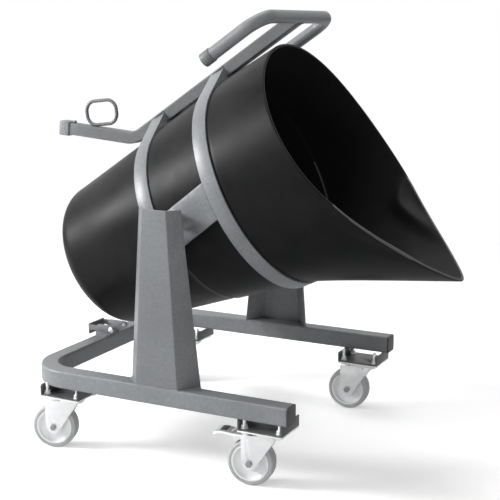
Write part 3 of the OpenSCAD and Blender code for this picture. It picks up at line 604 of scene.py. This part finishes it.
# Rounded folds and edges of the cradle, base and catch
for side in ("right", "left"):
    dressed("pedestal_" + side, "folded_pedestal_" + side, "base", 3 * MM, 4)
    dressed("side_plate_" + side, "cradle_side_plate_" + side, "cradle", 1 * MM, 2)
for hoop in ("front", "rear"):
    dressed("hoop_" + hoop, "strap_hoop_" + hoop, "cradle", 1 * MM, 2, 25)
dressed("hoop_gussets", "strap_gussets", "cradle", 0.6 * MM, 2)
dressed("catch_cheeks", "catch_cheek_pair", "base", 0.8 * MM, 2)
dressed("catch_bail", "catch_bail_bar", "bail", 0.8 * MM, 2)
dressed("rail_plugs", "rail_end_plugs", "base", 1.2 * MM, 3)
dressed("handle_caps", "handle_sleeves", "cradle", 0.6 * MM, 2)
dressed("tail_catch", "tail_collar", "cradle", 0.8 * MM, 2)
for corner in CORNERS:
    dressed("castor_bracket_" + corner, "rail_bracket_" + corner, "base", 0.8 * MM, 2)
    dressed("castor_plate_" + corner, "castor_top_plate_" + corner, "base", 0.7 * MM, 2)
    dressed("fork_" + corner, "pressed_fork_" + corner, "swivel_" + corner, 0.6 * MM, 2)


# Castors: the wheel's own frame has Y along the axle
WHEEL_R = 50 * MM
TYRE_W = 32 * MM
TYRE_T = 10 * MM
HUB_W = 36 * MM
AROUND_WHEEL = 96


def castor_frame(corner):
    """Where a castor swivels, turned so that it trails along its own -X."""
    joint = JOINTS["swivel_" + corner]["pos_m"]
    axle = JOINTS["roll_" + corner]["axis"]
    turn = math.atan2(axle[0], -axle[1])
    return Matrix.Translation((joint[0], joint[1], 0)) @ Matrix.Rotation(turn, 4, "Z")


def wheel_frame(corner):
    """The castor's frame moved to the wheel's centre."""
    joint = JOINTS["roll_" + corner]["pos_m"]
    return Matrix.Translation(joint) @ castor_frame(corner).to_3x3().to_4x4()


def revolved(name, where, profile, material, steps=AROUND_WHEEL, angle=35):
    """A closed profile of (radius, place along Y) turned about the Y axis of its frame."""
    verts = []
    for k in range(steps):
        turn = 2 * math.pi * k / steps
        verts += [where @ Vector((r * math.cos(turn), y, r * math.sin(turn))) for r, y in profile]
    n = len(profile)
    faces = []
    for k in range(steps):
        for i in range(n):
            j = (i + 1) % n
            k2 = (k + 1) % steps
            faces.append((k * n + i, k * n + j, k2 * n + j, k2 * n + i))
    return finish_mesh(name, verts, faces, material, angle)


def arc(centre, radius, start, end, steps):
    """Points on an arc, with its angles in degrees."""
    turns = [math.radians(start + (end - start) * i / steps) for i in range(steps + 1)]
    return [(centre[0] + radius * math.cos(q), centre[1] + radius * math.sin(q)) for q in turns]


def tyre_profile():
    """The tyre's section: a lightly crowned tread, round shoulders and a bead against the rim."""
    inner = WHEEL_R - TYRE_T
    half = TYRE_W / 2
    shoulder = 5 * MM
    drop = 0.35 * MM
    crown = [(WHEEL_R - drop * (k / 5) ** 2, (half - shoulder) * k / 5) for k in range(-5, 6)]
    lower = arc((WHEEL_R - shoulder - drop, shoulder - half), shoulder, -90, 0, 6)[:-1]
    upper = arc((WHEEL_R - shoulder - drop, half - shoulder), shoulder, 0, 90, 6)[1:]
    groove = 0.8 * MM
    wall = lambda side: [(inner + 3.4 * MM, side * half), (inner + 2.8 * MM, side * (half - groove)),
                         (inner + 2.0 * MM, side * (half - groove)), (inner + 1.4 * MM, side * half)]
    return [(inner, -half)] + wall(-1)[::-1] + lower + crown + upper + wall(1) + [(inner, half)]


def hub_profile():
    """The hub's section: a boss for the sleeve, a thin web and a rim with a bead."""
    rim = WHEEL_R - TYRE_T
    half = TYRE_W / 2
    web = 9.5 * MM
    bore = 6.05 * MM
    core = 13 * MM
    side = lambda s: [(bore, s * HUB_W / 2), (core - 1 * MM, s * HUB_W / 2), (core, s * (HUB_W / 2 - 1 * MM)),
                      (core + 2.2 * MM, s * (web + 1.5 * MM)), (core + 4 * MM, s * web),
                      (rim - 8 * MM, s * web), (rim - 5.6 * MM, s * (web + 1.6 * MM)),
                      (rim - 4 * MM, s * (half - 2 * MM)), (rim - 3 * MM, s * half), (rim, s * half)]
    return side(-1) + side(1)[::-1]


for corner in CORNERS:
    turned = wheel_frame(corner)
    tread = revolved("tread_" + corner, turned, tyre_profile(), RUBBER)
    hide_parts("tyre_" + corner)
    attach(tread, "wheel_" + corner)
    disc = revolved("wheel_hub_" + corner, turned, hub_profile(), HUB)
    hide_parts("hub_" + corner)
    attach(disc, "wheel_" + corner)


# Geometry Nodes
def new_tree(name, inputs):
    """A geometry node tree with these inputs beside its geometry."""
    tree = bpy.data.node_groups.new(name, "GeometryNodeTree")
    tree.interface.new_socket("Geometry", in_out="INPUT", socket_type="NodeSocketGeometry")
    for label, kind, value in inputs:
        s = tree.interface.new_socket(label, in_out="INPUT", socket_type=kind)
        if value is not None:
            s.default_value = value
    tree.interface.new_socket("Geometry", in_out="OUTPUT", socket_type="NodeSocketGeometry")
    return tree, tree.nodes.new("NodeGroupInput"), tree.nodes.new("NodeGroupOutput")


def finish_tree(tree, geometry, inp, out):
    """Ends a tree: real geometry with the finish on it."""
    real = add(tree, "GeometryNodeRealizeInstances", [("Geometry", geometry)])
    painted = add(tree, "GeometryNodeSetMaterial", [
        ("Geometry", real.outputs[0]), ("Material", inp.outputs["Finish"])])
    tree.links.new(painted.outputs[0], out.inputs[0])
    return tree


def weld_bead_tree():
    """A bead along each line of the mesh: a round section that swells at every ripple."""
    tree, inp, out = new_tree("weld_bead", [
        ("Width", "NodeSocketFloat", 6 * MM), ("Ripple", "NodeSocketFloat", 3 * MM),
        ("Step", "NodeSocketFloat", 0.75 * MM), ("Swell", "NodeSocketFloat", 0.16),
        ("Seed", "NodeSocketInt", 1), ("Finish", "NodeSocketMaterial", None)])
    lines = add(tree, "GeometryNodeMeshToCurve", [("Mesh", inp.outputs["Geometry"])])
    fine = add(tree, "GeometryNodeResampleCurve", [
        ("Curve", lines.outputs[0]), ("Length", inp.outputs["Step"])], mode="LENGTH")
    along = add(tree, "GeometryNodeSplineParameter").outputs["Length"]
    ripples = math_node(tree, "DIVIDE", along, inp.outputs["Ripple"])
    wave = math_node(tree, "SINE", math_node(tree, "MULTIPLY", ripples, 2 * math.pi))
    uneven = add(tree, "FunctionNodeRandomValue", [("Seed", inp.outputs["Seed"])], data_type="FLOAT")
    uneven.inputs[2].default_value = -0.06
    uneven.inputs[3].default_value = 0.06
    swell = math_node(tree, "ADD", math_node(tree, "MULTIPLY", wave, inp.outputs["Swell"]), uneven.outputs[1])
    half_width = math_node(tree, "MULTIPLY", inp.outputs["Width"], 0.5)
    radius = math_node(tree, "MULTIPLY", math_node(tree, "ADD", swell, 1.0), half_width)
    section = add(tree, "GeometryNodeCurvePrimitiveCircle", [("Resolution", 8), ("Radius", 1.0)])
    bead = add(tree, "GeometryNodeCurveToMesh", [
        ("Curve", fine.outputs[0]), ("Profile Curve", section.outputs[0]),
        ("Scale", radius), ("Fill Caps", True)])
    smooth = add(tree, "GeometryNodeSetShadeSmooth", [("Geometry", bead.outputs[0])])
    return finish_tree(tree, smooth.outputs[0], inp, out)


def hex_fixing_tree():
    """A hexagon with a chamfered top on a washer, the thread's end standing out of it, at each point."""
    tree, inp, out = new_tree("hex_fixing", [
        ("Across Corners", "NodeSocketFloat", 14.6 * MM), ("Height", "NodeSocketFloat", 6.5 * MM),
        ("Washer Radius", "NodeSocketFloat", 8.5 * MM), ("Washer Thickness", "NodeSocketFloat", 1.4 * MM),
        ("Thread Radius", "NodeSocketFloat", 4 * MM), ("Thread Length", "NodeSocketFloat", 10 * MM),
        ("Turn", "NodeSocketRotation", None), ("Seed", "NodeSocketInt", 3),
        ("Finish", "NodeSocketMaterial", None)])
    half = lambda value: math_node(tree, "MULTIPLY", value, 0.5)
    share = lambda value, part: math_node(tree, "MULTIPLY", value, part)
    radius = half(inp.outputs["Across Corners"])
    thread_r = inp.outputs["Thread Radius"]
    thread_l = inp.outputs["Thread Length"]

    def lifted(mesh, height):
        offset = add(tree, "ShaderNodeCombineXYZ", [("Z", height)])
        links = [("Geometry", mesh), ("Translation", offset.outputs[0])]
        return add(tree, "GeometryNodeTransform", links).outputs[0]

    def cone(sides, low, high, depth):
        links = [("Vertices", sides), ("Radius Bottom", low), ("Radius Top", high), ("Depth", depth)]
        return add(tree, "GeometryNodeMeshCone", links)

    washer = add(tree, "GeometryNodeMeshCylinder", [
        ("Vertices", 24), ("Radius", inp.outputs["Washer Radius"]),
        ("Depth", inp.outputs["Washer Thickness"])])
    prism_depth = share(inp.outputs["Height"], 0.82)
    prism = add(tree, "GeometryNodeMeshCylinder", [
        ("Vertices", 6), ("Radius", radius), ("Depth", prism_depth)])
    top = cone(6, radius, share(radius, 0.87), share(inp.outputs["Height"], 0.18))
    thread = cone(16, thread_r, share(thread_r, 0.96), thread_l)
    pitch = add(tree, "GeometryNodeMeshLine", [("Count", 9)], mode="END_POINTS")
    pitch.inputs["Start Location"].default_value = (0, 0, 0)
    tip = add(tree, "ShaderNodeCombineXYZ", [("Z", share(thread_l, 0.95))])
    tree.links.new(tip.outputs[0], pitch.inputs["Offset"])
    ridge = cone(16, share(thread_r, 1.08), share(thread_r, 0.9), share(thread_l, 0.06))
    ridges = add(tree, "GeometryNodeInstanceOnPoints", [
        ("Points", pitch.outputs[0]), ("Instance", ridge.outputs[0])])
    above = inp.outputs["Washer Thickness"]
    joined = add(tree, "GeometryNodeJoinGeometry")
    for part in (lifted(washer.outputs[0], half(inp.outputs["Washer Thickness"])),
                 lifted(prism.outputs[0], math_node(tree, "ADD", above, half(prism_depth))),
                 lifted(top.outputs[0], math_node(tree, "ADD", above, prism_depth)),
                 thread.outputs[0], ridges.outputs[0]):
        tree.links.new(part, joined.inputs[0])
    spin = add(tree, "FunctionNodeRandomValue", [("Seed", inp.outputs["Seed"])], data_type="FLOAT")
    spin.inputs[2].default_value = 0.0
    spin.inputs[3].default_value = math.pi / 3
    own = add(tree, "ShaderNodeCombineXYZ", [("Z", spin.outputs[1])])
    turned = add(tree, "FunctionNodeEulerToRotation", [(0, own.outputs[0])])
    facing = add(tree, "FunctionNodeRotateRotation", [(0, inp.outputs["Turn"]), (1, turned.outputs[0])],
                 rotation_space="LOCAL")
    placed = add(tree, "GeometryNodeInstanceOnPoints", [
        ("Points", inp.outputs["Geometry"]), ("Instance", joined.outputs[0]),
        ("Rotation", facing.outputs[0])])
    return finish_tree(tree, placed.outputs[0], inp, out)


WELD_BEAD = weld_bead_tree()
HEX_FIXING = hex_fixing_tree()


def grown(name, verts, edges, tree, finish, body, slot, **values):
    """Bakes what the tree grows on the points and lines into one plain mesh."""
    seed_mesh = bpy.data.meshes.new(name + "_lines")
    seed_mesh.from_pydata([tuple(v) for v in verts], edges, [])
    piece = new_object(name, seed_mesh)
    modifier = piece.modifiers.new("grow", "NODES")
    modifier.node_group = tree
    sockets = {i.name: i.identifier for i in tree.interface.items_tree if i.in_out == "INPUT"}
    modifier[sockets["Finish"]] = finish
    for key, value in values.items():
        modifier[sockets[key.replace("_", " ")]] = value
    apply_modifiers(piece)
    piece.data.name = name
    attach(piece, body)
    return piece


def polylines(lines):
    """(vertices, edges) of several open lines of points."""
    verts, edges = [], []
    for line in lines:
        first = len(verts)
        verts += line
        edges += [(first + i, first + i + 1) for i in range(len(line) - 1)]
    return verts, edges


# Welds
RAIL_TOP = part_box("base_frame")[1][2]
RAIL_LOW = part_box("base_frame")[0][2]
RAIL_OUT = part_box("base_frame")[1][1]
RAIL = 40 * MM
RAIL_IN = RAIL_OUT - RAIL
WEB_LOW = 101 * MM
FLANGE_LOW = 35 * MM
FOOT_BEAD_IN = 2.75 * MM


def pedestal_foot(side):
    """The line round a pedestal's foot on its rail."""
    half = WEB_LOW / 2
    z = RAIL_TOP - 0.4 * MM
    near = RAIL_OUT - FOOT_BEAD_IN
    points = [(half + FLANGE_LOW, RAIL_IN), (half + 1 * MM, near), (-half - 1 * MM, near),
              (-half - FLANGE_LOW, RAIL_IN)]
    drop = {near: 1.2 * MM}
    return [Vector((PIVOT.x + x, side * y, z - drop.get(y, 0))) for x, y in points]


def bracket_seams(corner):
    """The two lines where a castor bracket's flanges meet the rail."""
    low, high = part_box("castor_bracket_" + corner)
    outside = max(abs(low[1]), abs(high[1]))
    y_in = outside - RAIL + 3 * MM
    y_out = outside - 6 * MM
    side = 1 if low[1] + high[1] > 0 else -1
    return [[Vector((x, side * y, RAIL_LOW)) for y in (y_in, y_out)] for x in (low[0], high[0])]


def cheek_seams(side):
    """The two lines where a cheek of the catch meets the crossbar."""
    low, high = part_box("catch_cheeks")
    rows = []
    for y in (high[1] - 4 * MM, high[1]):
        rows.append([Vector((low[0] + along, side * y, RAIL_TOP)) for along in (1 * MM, 30 * MM)])
    return rows


base_welds = [pedestal_foot(-1), pedestal_foot(1)]
for corner in CORNERS:
    base_welds += bracket_seams(corner)
for side in (-1, 1):
    base_welds += cheek_seams(side)
grown("base_welds", *polylines(base_welds), WELD_BEAD, GREY, "base", "grey_paint", Width=4.5 * MM)


def in_spine(u, y, v):
    """A point of the spine's frame, u along it."""
    return SPINE_FRAME @ Vector((u, y, v))


def in_barrel(a, y, off):
    """A point of the barrel's frame, a along it."""
    return BARREL @ Vector((a, y, off))


def spine_side(a, y, v):
    """A point beside the spine, v above its middle line, at a along the barrel."""
    return in_barrel(a, y, SPINE_OFF + (a + HOOP_PITCH) * math.tan(SPINE_DEV) + v)


cradle_welds = []
for side in (-1, 1):
    y = side * (SPINE / 2 + 0.3 * MM)
    for hoop_a in (0, -HOOP_PITCH):
        front = hoop_a + STRAP_W / 2
        behind = hoop_a - STRAP_W / 2 + 0.5 * MM
        cradle_welds.append([spine_side(front - 0.5 * MM, y, v) for v in (-13 * MM, 9 * MM)])
        cradle_welds.append([spine_side(a, y, 11 * MM) for a in (behind, front - 1 * MM)])


def square_ring(u, half, radius):
    """A line round the square tube at u, with rounded corners."""
    points = []
    flat = half - radius
    for quarter, (sy, sz) in enumerate(((1, 1), (-1, 1), (-1, -1), (1, -1))):
        for step in range(4):
            q = math.radians(90 * quarter + 30 * step)
            points.append((u, sy * flat + radius * math.cos(q), sz * flat + radius * math.sin(q)))
    return points + points[:1]


collar_line = square_ring(-TAIL_LEN + 25 * MM, SPINE / 2 + 0.5 * MM, 3 * MM)
cradle_welds.append([TAIL_FRAME @ Vector(p) for p in collar_line])
handle_joint = []
for u, y, v in square_ring(0, SPINE / 2, 3 * MM):
    reach = math.sqrt(max((HANDLE_D / 2) ** 2 - v * v, 0))
    handle_joint.append(in_spine(SPINE_LEN - reach - 0.2 * MM, y, v * 0.985))
cradle_welds.append(handle_joint)
grown("cradle_welds", *polylines(cradle_welds), WELD_BEAD, GREY, "cradle", "grey_paint",
      Width=3.6 * MM, Seed=2)


# Castor fixings
BOLT_PITCH_X = 80 * MM
BOLT_PITCH_Y = 60 * MM
PLATE_Z = 125 * MM
BRACKET_T = 3 * MM
PLATE_T = 3 * MM
below, above = [], []
for corner in CORNERS:
    joint = JOINTS["swivel_" + corner]["pos_m"]
    for sx in (-1, 1):
        for sy in (-1, 1):
            x = joint[0] + sx * BOLT_PITCH_X / 2
            y = joint[1] + sy * BOLT_PITCH_Y / 2
            above.append(Vector((x, y, PLATE_Z + BRACKET_T)))
            below.append(Vector((x, y, PLATE_Z - PLATE_T)))
nuts = grown("castor_nuts_on_washers", above, [], HEX_FIXING, ZINC, "base", "zinc_steel",
             Washer_Thickness=1.2 * MM, Height=6.5 * MM, Thread_Length=26 * MM, Thread_Radius=3.9 * MM)
heads = grown("castor_bolt_heads", below, [], HEX_FIXING, ZINC, "base", "zinc_steel",
              Washer_Thickness=0.6 * MM, Washer_Radius=7.2 * MM, Height=4.4 * MM, Thread_Length=2 * MM,
              Thread_Radius=3.6 * MM, Turn=(math.pi, 0, 0), Seed=8)
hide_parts("castor_nuts")
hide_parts("castor_bolts")


# Brake lever: its own frame has the hinge pin at the origin and the tip along -X
PIN_BACK = 43 * MM
TRAIL = 35 * MM
LEVER_BACK = 69 * MM
LEVER_T = 2.6 * MM
LEVER_HALF = 18 * MM
LEVER_LINE = [(0, 0.5), (0.2, 0.2), (0.4, 0.2), (0.52, 1.0), (0.62, 2.2), (0.73, 2.8), (0.84, 2.4),
              (0.93, 1.2), (0.995, -1.5)]
pin = JOINTS["brake"]["pos_m"]
LEVER = Matrix.Translation(pin) @ castor_frame("front_right").to_3x3().to_4x4()


def smooth_line(points, steps):
    """A Catmull-Rom line through the points."""
    ends = [points[0]] + list(points) + [points[-1]]
    out = []
    for i in range(len(points) - 1):
        p0, p1, p2, p3 = (Vector(ends[i + k]) for k in range(4))
        for k in range(steps):
            t = k / steps
            out.append(0.5 * ((2 * p1) + (p2 - p0) * t + (2 * p0 - 5 * p1 + 4 * p2 - p3) * t * t
                              + (3 * p1 - p0 - 3 * p2 + p3) * t ** 3))
    return out + [Vector(points[-1])]


def lever_plate():
    """The pressed plate: turned-down edges, two cross ribs and a curled tip."""
    line = smooth_line([(-x * LEVER_BACK, z * MM) for x, z in LEVER_LINE], 6)
    across = [k / 12 for k in range(-12, 13)]
    verts, faces = [], []
    for i, point in enumerate(line):
        along = -point.x / LEVER_BACK
        rib = sum(math.exp(-((along - place) / 0.035) ** 2) for place in (0.2, 0.42)) * 1.6 * MM
        for v in across:
            edge = max(0, abs(v) - 0.86) / 0.14
            inner = max(0, 1 - (abs(v) / 0.78) ** 6)
            z = point.y + rib * inner - 3.2 * MM * edge ** 2
            verts.append(LEVER @ Vector((point.x, v * LEVER_HALF, z)))
    n = len(across)
    for i in range(len(line) - 1):
        for k in range(n - 1):
            faces.append((i * n + k, i * n + k + 1, (i + 1) * n + k + 1, (i + 1) * n + k))
    piece = finish_mesh("brake_lever_plate", verts, faces, ZINC, 60)
    if piece.data.polygons[n // 2].normal.z < 0:
        piece.data.flip_normals()
    wall = piece.modifiers.new("sheet", "SOLIDIFY")
    wall.thickness = LEVER_T
    wall.offset = 1
    apply_modifiers(piece)
    make_smooth(piece.data, 50)
    return piece


def prism(name, outline, half, material, where):
    """An outline in XZ given a width of twice half along Y."""
    n = len(outline)
    verts = [where @ Vector((x, side * half, z)) for side in (-1, 1) for x, z in outline]
    faces = [tuple(range(n)), tuple(range(2 * n - 1, n - 1, -1))]
    faces += [(i, (i + 1) % n, (i + 1) % n + n, i + n) for i in range(n)]
    piece = finish_mesh(name, verts, faces, material, 30)
    round_edges(piece, 0.7 * MM, 2, 35)
    return piece


def shoe_outline():
    """The shoe under the lever, hollowed to follow the tyre."""
    wheel = (PIN_BACK - TRAIL, WHEEL_R - pin[2])
    reach = WHEEL_R + 2.6 * MM
    front, back = -0.12 * LEVER_BACK, -0.4 * LEVER_BACK
    curve = []
    for k in range(13):
        x = front + (back - front) * k / 12
        curve.append((x, wheel[1] + math.sqrt(reach ** 2 - (x - wheel[0]) ** 2)))
    return [(back, 0.3 * MM), (front, 0.3 * MM)] + curve


plate = lever_plate()
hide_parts("brake_pedal")
shoe = prism("brake_shoe", shoe_outline(), 15 * MM, ZINC, LEVER)
HINGE_IN = 3.05 * MM
HINGE_OUT = 5.4 * MM
hinge_section = [(HINGE_IN, -LEVER_HALF), (HINGE_OUT, -LEVER_HALF),
                 (HINGE_OUT, LEVER_HALF), (HINGE_IN, LEVER_HALF)]
hinge = revolved("brake_hinge_barrel", LEVER, hinge_section, ZINC, 32)
PAD_BACK = -0.83 * LEVER_BACK
PAD_FRONT = -0.63 * LEVER_BACK
PAD_LOW = 4.4 * MM
PAD_HIGH = 6.2 * MM
pad_outline = [(PAD_BACK, PAD_LOW), (PAD_FRONT, PAD_LOW), (PAD_FRONT, PAD_HIGH), (PAD_BACK, PAD_HIGH)]
pad = prism("brake_foot_pad", pad_outline, 14 * MM, PLUG, LEVER)
for piece, slot in ((plate, "zinc_steel"), (shoe, "zinc_steel"), (hinge, "zinc_steel"),
                    (pad, "plug_plastic")):
    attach(piece, "brake")
for corner in CORNERS:
    dressed("axle_" + corner, "axle_bolt_" + corner, "swivel_" + corner, 0.7 * MM, 2)
dressed("brake_pin", "brake_hinge_pin", "swivel_front_right", 0.5 * MM, 2)

# Rivets of the catch, with domed heads
RIVET_R = 4 * MM
HEAD_R = 7 * MM
RIVET_IN = 23.5 * MM
HEAD_Y = 32.1 * MM
HEAD_T = 3 * MM
rivet_place = Matrix.Translation(JOINTS["catch"]["pos_m"])
dome_turns = [math.radians(q) for q in range(0, 90, 10)]
dome = [(HEAD_R * math.cos(q), HEAD_Y + HEAD_T * math.sin(q)) for q in dome_turns]
for side, name in ((-1, "right"), (1, "left")):
    outline = [(0.05 * MM, side * RIVET_IN), (RIVET_R, side * RIVET_IN), (RIVET_R, side * HEAD_Y)]
    outline += [(r, side * y) for r, y in dome] + [(0.05 * MM, side * (HEAD_Y + HEAD_T))]
    rivet = revolved("catch_rivet_" + name, rivet_place, outline, ZINC, 32)
    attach(rivet, "base")
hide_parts("bail_rivets")


# Studio
WORLD_GLOW = 0.28
FLOOR_LIFT = 0.4
WHITE_FROM = 0.9
WHITE_AT = 2.6
world = bpy.data.worlds.new("studio")
bpy.context.scene.world = world
world.use_nodes = True
wt = world.node_tree
background = wt.nodes["Background"]
path = wt.nodes.new("ShaderNodeLightPath")
seen = math_node(wt, "MAXIMUM", path.outputs["Is Camera Ray"], path.outputs["Is Glossy Ray"])
seen = math_node(wt, "MAXIMUM", seen, path.outputs["Is Transmission Ray"])
glow = add(wt, "ShaderNodeMapRange", [("Value", seen), ("To Min", WORLD_GLOW), ("To Max", 1.0)])
wt.links.new(glow.outputs["Result"], background.inputs["Strength"])
background.inputs["Color"].default_value = (1, 1, 1, 1)

floor_mesh = bpy.data.meshes.new("floor")
floor_mesh.from_pydata([(-30, -30, 0), (30, -30, 0), (30, 30, 0), (-30, 30, 0)], [], [(0, 1, 2, 3)])
floor = new_object("floor", floor_mesh)


def pale_floor():
    """A pale floor that keeps its shadows near the cart and runs out to the background's plain white."""
    material, tree, shader = new_material("pale_floor")
    shader.inputs["Base Color"].default_value = (0.9, 0.9, 0.9, 1)
    shader.inputs["Roughness"].default_value = 0.8
    shader.inputs["Specular IOR Level"].default_value = 0.2
    seen = add(tree, "ShaderNodeLightPath").outputs["Is Camera Ray"]
    co = add(tree, "ShaderNodeTexCoord")
    far = add(tree, "ShaderNodeVectorMath", [(0, co.outputs["Object"])], operation="LENGTH").outputs["Value"]
    white = add(tree, "ShaderNodeEmission", [("Strength", 1.0)])
    lift = add(tree, "ShaderNodeEmission", [("Strength", math_node(tree, "MULTIPLY", seen, FLOOR_LIFT))])
    near = add(tree, "ShaderNodeAddShader", [(0, shader.outputs[0]), (1, lift.outputs[0])])
    fade = math_node(tree, "MULTIPLY", seen, ramp(tree, far, WHITE_FROM, WHITE_AT))
    blend = add(tree, "ShaderNodeMixShader", [(0, fade), (1, near.outputs[0]), (2, white.outputs[0])])
    tree.links.new(blend.outputs[0], tree.nodes["Material Output"].inputs["Surface"])
    return material


floor_mesh.materials.append(pale_floor())


def area_light(name, place, target, size, power):
    """A square lamp that faces the target."""
    light = bpy.data.lights.new(name, "AREA")
    light.shape = "SQUARE"
    light.size = size
    light.energy = power
    lamp = new_object(name, light)
    lamp.location = place
    lamp.rotation_euler = (Vector(target) - Vector(place)).to_track_quat("-Z", "Y").to_euler()


area_light("key", (-3.0, -1.6, 1.5), (0, 0, 0.5), 0.75, 126)
area_light("front", (-1.0, -3.6, 2.4), (0, 0, 0.5), 2.4, 36)
area_light("fill", (2.6, -3.4, 2.0), (0, 0, 0.5), 2.6, 5)
area_light("top", (-0.6, 0.4, 3.8), (0, 0, 0.5), 2.4, 60)

# Camera
CAMERA_PLACE = (1.1333, -2.2392, 0.9329)
CAMERA_YAW = 0.467
CAMERA_DOWN = 0.197
camera_data = bpy.data.cameras.new("camera")
camera_data.lens = 81.01
camera_data.sensor_width = 36
camera = new_object("camera", camera_data)
camera.location = CAMERA_PLACE
camera.rotation_euler = (math.pi / 2 - CAMERA_DOWN, 0, CAMERA_YAW)
bpy.context.scene.camera = camera
bpy.context.scene.view_settings.view_transform = "Standard"
